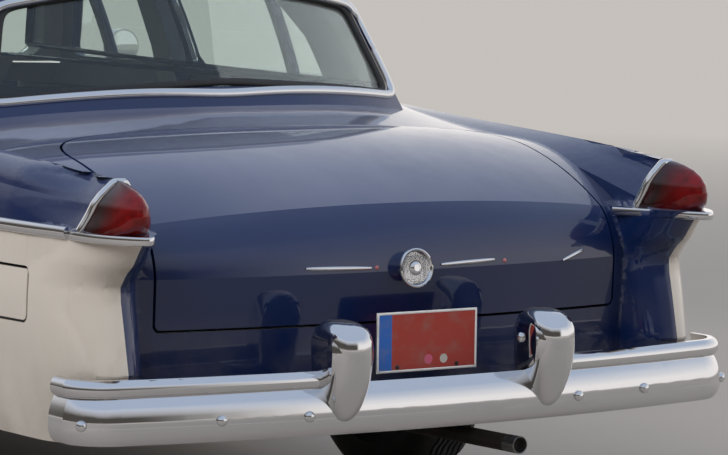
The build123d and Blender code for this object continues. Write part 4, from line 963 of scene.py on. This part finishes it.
def window_loop(corners, grow):
    """A closed loop (y, z) round a window, its corners softened."""
    loop = []
    for (y0, z0), (y1, z1) in zip(corners, corners[1:] + corners[:1]):
        loop += [Vector((y0 + (y1 - y0) * i / 20, z0 + (z1 - z0) * i / 20)) for i in range(20)]
    loop = rounded(loop, passes=8)
    middle = sum((Vector((p.x, p.y)) for p in loop), Vector((0.0, 0.0))) / len(loop)
    out = []
    for i, p in enumerate(loop):
        way = (loop[(i + 1) % len(loop)] - loop[i - 1]).normalized()
        side = Vector((way.y, -way.x))
        if side.dot(p - middle) < 0:
            side = -side
        out.append(p + side * grow)
    return out


def round_window(tree, side, end, grow):
    """Places and normals on a door's skin, round its window."""
    starts = [(side * 1.4, p.x, p.y) for p in window_loop(WINDOW_LOOPS[end], grow)]
    found = [hit(tree, start, (-side, 0, 0)) for start in starts]
    return [f for f in found if f and abs(f[0].x) > 0.60]


HANDLE_FOOT = [(0.017, -0.003), (0.017, 0.003), (0.013, 0.008), (0.009, 0.020), (0.009, 0.032),
               (0.001, 0.034)]
LOCK_BUTTON = [(0.011, -0.002), (0.011, 0.003), (0.008, 0.006), (0.001, 0.0065)]
for side_name, side in SIDES:
    for end in ("front", "rear"):
        door = f"door_{end}_{side_name}"
        tree = surface(door)
        found = round_window(tree, side, end, 0.011)
        points, faces = swept([p for p, n in found], [n for p, n in found], crowned(0.016, 0.006),
                              closed=True)
        piece(f"window_frame_{end}_{side_name}", points, faces, "satin", door, "chrome", sharp=50)
        found = round_window(tree, side, end, 0.002)
        points, faces = swept([p - n * 0.004 for p, n in found], [n for p, n in found],
                              crowned(0.010, 0.004), closed=True)
        piece(f"window_gasket_{end}_{side_name}", points, faces, "gasket", door, "black_steel", sharp=50)
        y = HANDLE_Y[end]
        parts = []
        for dy in (-0.095, 0.035):
            place, normal = hit(tree, (side * 1.4, y + dy, HANDLE_Z), (-side, 0, 0))
            parts.append(lathe(HANDLE_FOOT, place, normal, 24))
        bar = []
        for i in range(17):
            place, normal = hit(tree, (side * 1.4, y - 0.125 + 0.17 * i / 16, HANDLE_Z), (-side, 0, 0))
            bar.append(place + normal * (0.030 + 0.004 * math.sin(math.pi * i / 16)))
        ends = [0.45 + 0.55 * math.sin(math.pi * (i + 1) / 18) ** 0.4 for i in range(17)]
        parts.append(swept(bar, [Vector((side, 0, 0.2))] * 17, oval(0.011, 0.006, 14), scale=ends))
        place, normal = hit(tree, (side * 1.4, y + 0.035, LOCK_Z), (-side, 0, 0))
        parts.append(lathe(LOCK_BUTTON, place, normal, 24))
        piece(f"handle_{end}_{side_name}", *joined(*parts), "chrome", door, "chrome", sharp=50)

# Drip rails over the doors
RAIL = surface("roof")
for side_name, side in SIDES:
    path, normals = [], []
    for i in range(46):
        y = -0.74 + 1.90 * i / 45
        z = 1.4385 - 0.020 * max(0.0, (y - 0.7) / 0.46) ** 2 - 0.012 * max(0.0, (-0.4 - y) / 0.34) ** 2
        found = hit(RAIL, (side * 1.4, y, z), (-side, 0, 0))
        if found and abs(found[0].x) > 0.45:
            path.append(found[0])
            normals.append(found[1])
    points, faces = swept(path, normals, crowned(0.012, 0.010))
    piece(f"drip_rail_{side_name}", points, faces, "satin", "body", "chrome", sharp=50)

# Wiper arms and blades, parked on the windscreen
SCREEN = surface("windscreen")
WIPER_FOOTS = (0.14, -0.40)
WIPER_REACH = 0.34
parts = []
for x0 in WIPER_FOOTS:
    pivot = Vector((x0 + 0.05, -1.020, 1.112))
    blade = []
    for i in range(15):
        x = x0 + 0.02 + WIPER_REACH * i / 14
        found = hit(SCREEN, (x, -3.0, 1.168 + 0.02 * i / 14), (0, 1, 0))
        if found:
            blade.append((found[0] + found[1] * 0.012, found[1]))
    rubber = [(0.002, 0.006), (-0.002, 0.006), (-0.005, -0.004), (0.005, -0.004)]
    parts.append(swept([p for p, n in blade], [n for p, n in blade], rubber))
    end = blade[7][0] + blade[7][1] * 0.010
    arm = [pivot.lerp(end, i / 8) + Vector((0, -0.012, 0.010)) * math.sin(math.pi * i / 8) for i in range(9)]
    parts.append(swept(arm, [Vector((0, -0.7, 0.7))] * 9, oval(0.004, 0.003, 8)))
    boss = [(0.012, -0.010), (0.012, 0.006), (0.007, 0.011), (0.001, 0.012)]
    parts.append(lathe(boss, pivot, (0, -0.5, 0.85), 20))
piece("wipers", *joined(*parts), "satin", "body", "chrome", sharp=50)

# Mirror faces
MIRROR_FACE = [(0.053, -0.004), (0.053, 0.0005), (0.050, 0.0012), (0.001, 0.0012)]
MIRROR_X = 0.880
MIRROR_Z = 1.172
for side_name, side in SIDES:
    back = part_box(f"mirror_{side_name}")[1].y
    made = lathe(MIRROR_FACE, (side * MIRROR_X, back, MIRROR_Z), (0, 1, 0), 40)
    piece(f"mirror_face_{side_name}", *made, "mirror", f"door_front_{side_name}", "chrome", sharp=50)

# The tail pipe's turned end
TAIL = (-0.270, 2.578, 0.296)
PIPE_END = [(0.0225, -0.030), (0.0226, 0.020), (0.0222, 0.0225), (0.0210, 0.0235), (0.0196, 0.0225),
            (0.0190, -0.028)]
points, faces = lathe(PIPE_END, TAIL, (0, 1, 0.014), 40)
piece("pipe_end", points, faces[:-2], "pipe", "body", "exhaust_steel", sharp=50)
# A near-black disc just inside the pipe's mouth: painted shade of the hollow bore.
points, faces = lathe([(0.0192, -0.006), (0.001, -0.0058)], TAIL, (0, 1, 0), 24)
piece("pipe_dark", points, faces, "dark", "body", "exhaust_steel")

# Two benches: cushions and backs of pleated cloth with plain borders, welted round their faces.
# Each gives the node that it stands for, its half-width, its base's foot and head (y, z) and its thickness.
PADS = {
    "front_cushion": ("front_seat", 0.640, (-0.340, 0.501), (0.096, 0.501), 0.139),
    "front_back": ("front_seat", 0.640, (0.222, 0.545), (0.326, 1.000), 0.124),
    "rear_cushion": ("rear_seat", 0.560, (0.440, 0.501), (0.800, 0.501), 0.159),
    "rear_back": ("rear_seat", 0.560, (0.944, 0.560), (1.136, 1.022), 0.138),
}
VOXEL = 0.011
PLEAT = 0.066
BORDER = 0.095
ROUND = 0.034


class Pad:
    """A cushion's own frame: u across the car, v from its foot to its head, w out of its face."""

    def __init__(self, half, foot, head, thick):
        self.half, self.thick = half, thick
        self.foot = Vector((0.0, *foot))
        line = Vector((0.0, *head)) - self.foot
        self.length = line.length
        self.v = line.normalized()
        self.w = Vector((0.0, -self.v.z, self.v.y))

    def out(self, u, v, w):
        return Vector((u, 0.0, 0.0)) + self.foot + self.v * v + self.w * w

    def back(self, p):
        q = p - self.foot
        return p.x, q.dot(self.v), q.dot(self.w)

    def inside(self, u, v):
        """How far a place on the face lies inside its outline."""
        return min(self.half - abs(u), v, self.length - v)


def pad_core(pad):
    """The cushion's plain rounded body, a little smaller than the finished cushion."""
    body = bmesh.new()
    bmesh.ops.create_cube(body, size=1.0)
    for v in body.verts:
        u = v.co.x * 2 * (pad.half - 0.016)
        along = 0.014 + (v.co.y + 0.5) * (pad.length - 0.028)
        v.co = pad.out(u, along, 0.002 if v.co.z < 0 else pad.thick - 0.022)
    bmesh.ops.recalc_face_normals(body, faces=body.faces)
    bmesh.ops.bevel(body, geom=body.edges, offset=ROUND, segments=5, profile=0.6, affect="EDGES")
    mesh = bpy.data.meshes.new("pad_core")
    body.to_mesh(mesh)
    body.free()
    made = bpy.data.objects.new("pad_core", mesh)
    bpy.context.collection.objects.link(made)
    remesh = made.modifiers.new("grid", "REMESH")
    remesh.mode = "VOXEL"
    remesh.voxel_size = VOXEL
    return settled(made)


def settled(thing):
    """Applies every modifier of an object to a mesh of its own."""
    seen = thing.evaluated_get(bpy.context.evaluated_depsgraph_get())
    mesh = bpy.data.meshes.new_from_object(seen)
    thing.modifiers.clear()
    thing.data = mesh
    return thing


def swollen(thing, cap=0.024):
    """Lets air pressure swell the cushion's cloth, each point moving no further than the cap."""
    start = [v.co.copy() for v in thing.data.vertices]
    air = thing.modifiers.new("air", "CLOTH")
    air.settings.quality = 5
    air.settings.use_pressure = True
    air.settings.uniform_pressure_force = 4.0
    air.settings.effector_weights.gravity = 0.0
    for at in range(1, 21):
        bpy.context.scene.frame_set(at)
    settled(thing)
    for v, was in zip(thing.data.vertices, start):
        move = v.co - was
        if move.length > cap:
            v.co = was + move * (cap / move.length)
    bpy.context.scene.frame_set(1)


def sewn(pad, thing):
    """Presses the seams and pleats into the face, and rests the cushion flat on its base."""
    finer = thing.modifiers.new("finer", "SUBSURF")
    finer.levels = finer.render_levels = 1
    settled(thing)
    places = [pad.back(vertex.co) for vertex in thing.data.vertices]
    wide = max(abs(u) for u, v, w in places)
    foot, head = min(v for u, v, w in places), max(v for u, v, w in places)
    low, high = min(w for u, v, w in places), max(w for u, v, w in places)
    for vertex, (u, v, w) in zip(thing.data.vertices, places):
        u *= (pad.half - 0.002) / wide
        v = 0.002 + (v - foot) / (head - foot) * (pad.length - 0.004)
        w = 0.001 + (w - low) / (high - low) * (pad.thick - 0.003)
        face = eased(w, pad.thick * 0.55, pad.thick * 0.88)
        deep = pad.inside(u, v)
        crown = 0.007 * (1 - (2 * v / pad.length - 1) ** 2) * (1 - (u / pad.half) ** 4)
        w += face * crown
        if deep > 0:
            off = (u / PLEAT) % 1.0
            t = abs(2 * off - 1)
            panel = eased(deep, BORDER, BORDER + 0.022)
            w -= face * panel * 0.0085 * (1 - t) ** 4
            w -= face * 0.0075 * math.exp(-((deep - BORDER) / 0.007) ** 2)
        pull = 0.006 * math.sin(math.pi * min(1.0, max(0.0, v / pad.length)))
        u *= 1 - pull * eased(abs(u), pad.half * 0.8, pad.half) / pad.half
        vertex.co = pad.out(u, v, max(w, 0.001))


def welt(pad, thing):
    """A welt of piping round the cushion's face."""
    tree = BVHTree.FromPolygons([v.co.copy() for v in thing.data.vertices],
                                [tuple(p.vertices) for p in thing.data.polygons])
    inset = 0.021
    half_v = pad.length / 2
    outline = [Vector((x, z + half_v)) for x, z in rounded_rect(pad.half - inset, half_v - inset, 0.040)]
    outline = [Vector((p.x, p.y, 0.0)) for p in outline]
    path, ups = [], []
    for p in resampled(outline + [outline[0]], 0.010)[:-1]:
        found = hit(tree, pad.out(p.x, p.y, pad.thick + 0.1), -pad.w)
        if found:
            path.append(found[0] + found[1] * 0.0015)
            ups.append(found[1])
    for _ in range(3):
        path = [(path[i - 1] + path[i] * 2 + path[(i + 1) % len(path)]) / 4 for i in range(len(path))]
    return swept(path, ups, oval(0.0048, 0.0048, 10), closed=True)


for name, (node, half, foot, head, thick) in PADS.items():
    pad = Pad(half, foot, head, thick)
    cushion = pad_core(pad)
    swollen(cushion)
    sewn(pad, cushion)
    cushion.name = cushion.data.name = name
    mesh = cushion.data
    mesh.materials.clear()
    for finish in ("vinyl", "cloth"):
        mesh.materials.append(MATERIALS[finish])
    for polygon in mesh.polygons:
        u, v, w = pad.back(polygon.center)
        polygon.use_smooth = True
        polygon.material_index = 1 if pad.inside(u, v) > BORDER and w > pad.thick * 0.6 else 0
    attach(cushion, "body")
    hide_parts(node)
    piece(f"{name}_welt", *welt(pad, cushion), "vinyl", "body", "upholstery")

# Armrests and window cranks on the door linings; cranks as (y from the door's middle, z, turn)
CRANKS = ((-0.150, 0.800, 0.6), (0.190, 0.800, -0.9))
ARMREST_Z = 0.735
CRANK_FOOT = [(0.021, -0.002), (0.021, 0.004), (0.014, 0.010), (0.009, 0.018), (0.001, 0.019)]
CRANK_KNOB = [(0.009, 0.0), (0.010, 0.008), (0.010, 0.024), (0.006, 0.029), (0.001, 0.030)]
for side_name, side in SIDES:
    for end, y in (("front", -0.250), ("rear", 0.420)):
        door = f"door_{end}_{side_name}"
        tree = surface(door)
        parts = []
        for dy, z, turn in CRANKS:
            found = hit(tree, (0.0, y + dy, z), (side, 0, 0))
            if not found:
                continue
            place, normal = found
            parts.append(lathe(CRANK_FOOT, place, normal, 24))
            along = Vector((0, math.cos(turn), math.sin(turn)))
            arm = [place + normal * (0.016 + 0.006 * i / 8) + along * 0.010 * i for i in range(9)]
            parts.append(swept(arm, [normal] * 9, oval(0.007, 0.003, 12)))
            parts.append(lathe(CRANK_KNOB, arm[-1], normal, 20))
        if parts:
            piece(f"door_cranks_{end}_{side_name}", *joined(*parts), "chrome", door, "chrome", sharp=50)
        path, normals = [], []
        for i in range(15):
            found = hit(tree, (0.0, y - 0.13 + 0.26 * i / 14, ARMREST_Z), (side, 0, 0))
            if found:
                path.append(found[0])
                normals.append(found[1])
        if len(path) > 4:
            rest = [(a, 0.028 + b) for a, b in oval(0.028, 0.030, 20)]
            count = len(path)
            taper = [0.55 + 0.45 * math.sin(math.pi * (i + 0.5) / count) ** 0.5 for i in range(count)]
            made = swept(path, normals, rest, scale=taper)
            piece(f"armrest_{end}_{side_name}", *made, "vinyl", door, "upholstery", sharp=60)

# Dials, knobs and a bright strip on the dash; dials as (x, z, radius)
DASH = surface("cowl_dash")
DIALS = ((0.370, 0.985, 0.060), (0.235, 0.980, 0.032), (0.505, 0.980, 0.032), (-0.330, 0.980, 0.040))
KNOBS = (-0.160, -0.080, 0.0, 0.080, 0.160)
KNOB_Z = 0.920
STRIP_Z = 0.885
KNOB = [(0.007, -0.002), (0.007, 0.014), (0.012, 0.016), (0.013, 0.024), (0.009, 0.028), (0.001, 0.029)]
dials, rims, knobs = [], [], []
for x, z, r in DIALS:
    found = hit(DASH, (x, -0.2, z), (0, -1, 0))
    if found:
        place, normal = found
        rim = [(r + 0.006, -0.002), (r + 0.006, 0.006), (r + 0.002, 0.009), (r, 0.004)]
        rims.append(lathe(rim, place, normal, 40))
        dials.append(lathe([(r + 0.001, 0.0), (r + 0.001, 0.0025), (0.001, 0.003)], place, normal, 40))
for x in KNOBS:
    found = hit(DASH, (x, -0.2, KNOB_Z), (0, -1, 0))
    if found:
        knobs.append(lathe(KNOB, *found, 20))
path, normals = seated(DASH, [(0.72 - 1.44 * i / 40, -0.2, STRIP_Z) for i in range(41)], (0, -1, 0))
if dials:
    piece("dash_dials", *joined(*dials), "dial", "body", "lamp_glass", sharp=50)
    piece("dash_rims", *joined(*rims), "chrome", "body", "chrome", sharp=50)
if knobs:
    piece("dash_knobs", *joined(*knobs), "chrome", "body", "chrome", sharp=50)
if len(path) > 4:
    piece("dash_strip", *swept(path, normals, crowned(0.014, 0.005)), "satin", "body", "chrome", sharp=50)

# Camera, at the photograph's viewing angle
CAMERA_AT = Vector((5.235, 10.161, 1.664))
YAW, PITCH, ROLL, FOCAL_PX, WIDTH_PX = 0.5865, 0.08775, 0.0128, 3740.5, 728.0


def set_camera():
    """The camera where the photograph was taken from."""
    forward = Vector((-math.sin(YAW) * math.cos(PITCH), -math.cos(YAW) * math.cos(PITCH), -math.sin(PITCH)))
    right = forward.cross(Vector((0, 0, 1))).normalized()
    up = right.cross(forward)
    across = right * math.cos(ROLL) + up * math.sin(ROLL)
    over = -right * math.sin(ROLL) + up * math.cos(ROLL)
    data = bpy.data.cameras.new("camera")
    data.sensor_width = 36.0
    data.lens = FOCAL_PX * data.sensor_width / WIDTH_PX
    data.clip_end = 200.0
    made = bpy.data.objects.new("camera", data)
    turn = Matrix((across, over, -forward)).transposed().to_4x4()
    made.matrix_world = Matrix.Translation(CAMERA_AT) @ turn
    bpy.context.collection.objects.link(made)
    bpy.context.scene.camera = made


def set_floor():
    """A pale floor that runs on into a pale backdrop."""
    floor = bpy.data.meshes.new("floor")
    floor.from_pydata([(-90, -90, 0), (90, -90, 0), (90, 90, 0), (-90, 90, 0)], [], [(0, 1, 2, 3)])
    s = Shader("floor", Roughness=0.9, Specular_IOR_Level=0.1)
    s.set("Base_Color", s.blend(s.noise(0.6, 3.0), (0.27, 0.242, 0.216), (0.31, 0.278, 0.248)))
    far = s.node("VectorMath", {0: s.place}, operation="LENGTH").outputs["Value"]
    path = s.node("LightPath").outputs
    mirrored = s.math("MAXIMUM", path["Is Glossy Ray"], path["Is Transmission Ray"])
    rays = s.math("MAXIMUM", path["Is Camera Ray"], mirrored)
    pale = s.node("Emission", {"Color": (*BACKDROP, 1.0), "Strength": 1.0}).outputs[0]
    fade = s.math("MULTIPLY", s.span(far, 5.0, 16.0), rays)
    mix = s.node("MixShader", {0: fade, 1: s.bsdf.outputs[0], 2: pale})
    s.tree.links.new(mix.outputs[0], s.tree.nodes["Material Output"].inputs["Surface"])
    floor.materials.append(s.material)
    ground = bpy.data.objects.new("floor", floor)
    bpy.context.collection.objects.link(ground)


BACKDROP = (0.56, 0.53, 0.50)
HAZE = (0.92, 0.89, 0.87, 1.0)
SKY = (0.42, 0.50, 0.64, 1.0)
LOW_BAND = (0.075, 0.069, 0.063, 1.0)
# Name, place, size and power
LIGHTS = [
    ("key", (5.5, 4.0, 6.0), 5.0, 450.0),
    ("fill", (-6.0, 3.0, 4.5), 5.0, 220.0),
    ("front", (1.5, -7.5, 5.0), 6.0, 380.0),
]


def set_light():
    """Three soft lamps, and a world like a light tent: bright above and ahead, darker low down behind."""
    for name, place, size, power in LIGHTS:
        data = bpy.data.lights.new(name, "AREA")
        data.shape = "SQUARE"
        data.size = size
        data.energy = power
        lamp = bpy.data.objects.new(name, data)
        lamp.location = place
        lamp.visible_glossy = False
        lamp.rotation_euler = (Vector((0, 0.5, 0.6)) - Vector(place)).to_track_quat("-Z", "Y").to_euler()
        bpy.context.collection.objects.link(lamp)
    world = bpy.data.worlds.new("studio")
    bpy.context.scene.world = world
    world.use_nodes = True
    tree = world.node_tree

    def node(kind, inputs, **settings):
        return add_node(tree, kind, inputs, **settings)

    way = tree.nodes.new("ShaderNodeTexCoord").outputs["Generated"]
    x, y, z = node("SeparateXYZ", {0: way}).outputs
    stretched = node("Mapping", {"Vector": way, "Scale": (1.0, 1.0, 3.0)}).outputs[0]
    cloud = node("TexNoise", {"Vector": stretched, "Scale": 1.6, "Detail": 4.0,
                              "Roughness": 0.55}).outputs["Fac"]
    height = node("Math", {0: z, 1: node("Math", {0: cloud, 1: 0.16}, operation="MULTIPLY").outputs[0]},
                  operation="ADD").outputs[0]
    aside = node("Math", {0: y, 1: 0.35, 2: x}, operation="MULTIPLY_ADD").outputs[0]
    behind = node("MapRange", {"Value": aside, "From Min": -0.10, "From Max": 0.20}).outputs[0]
    dark = node("MapRange", {"Value": height, "From Min": 0.30, "From Max": 0.60, "To Min": 1.0,
                             "To Max": 0.0}).outputs[0]
    low = node("Math", {0: behind, 1: dark}, operation="MULTIPLY").outputs[0]
    climb = node("MapRange", {"Value": height, "From Min": 0.26, "From Max": 0.70}).outputs[0]
    sky = node("Mix", {0: climb, 6: HAZE, 7: SKY}, data_type="RGBA").outputs[2]
    tone = node("Mix", {0: low, 6: sky, 7: LOW_BAND}, data_type="RGBA").outputs[2]
    shine = node("Background", {"Color": tone, "Strength": 1.15}).outputs[0]
    tree.links.new(shine, tree.nodes["World Output"].inputs["Surface"])
    bpy.context.scene.view_settings.view_transform = "Standard"


set_camera()
set_floor()
set_light()
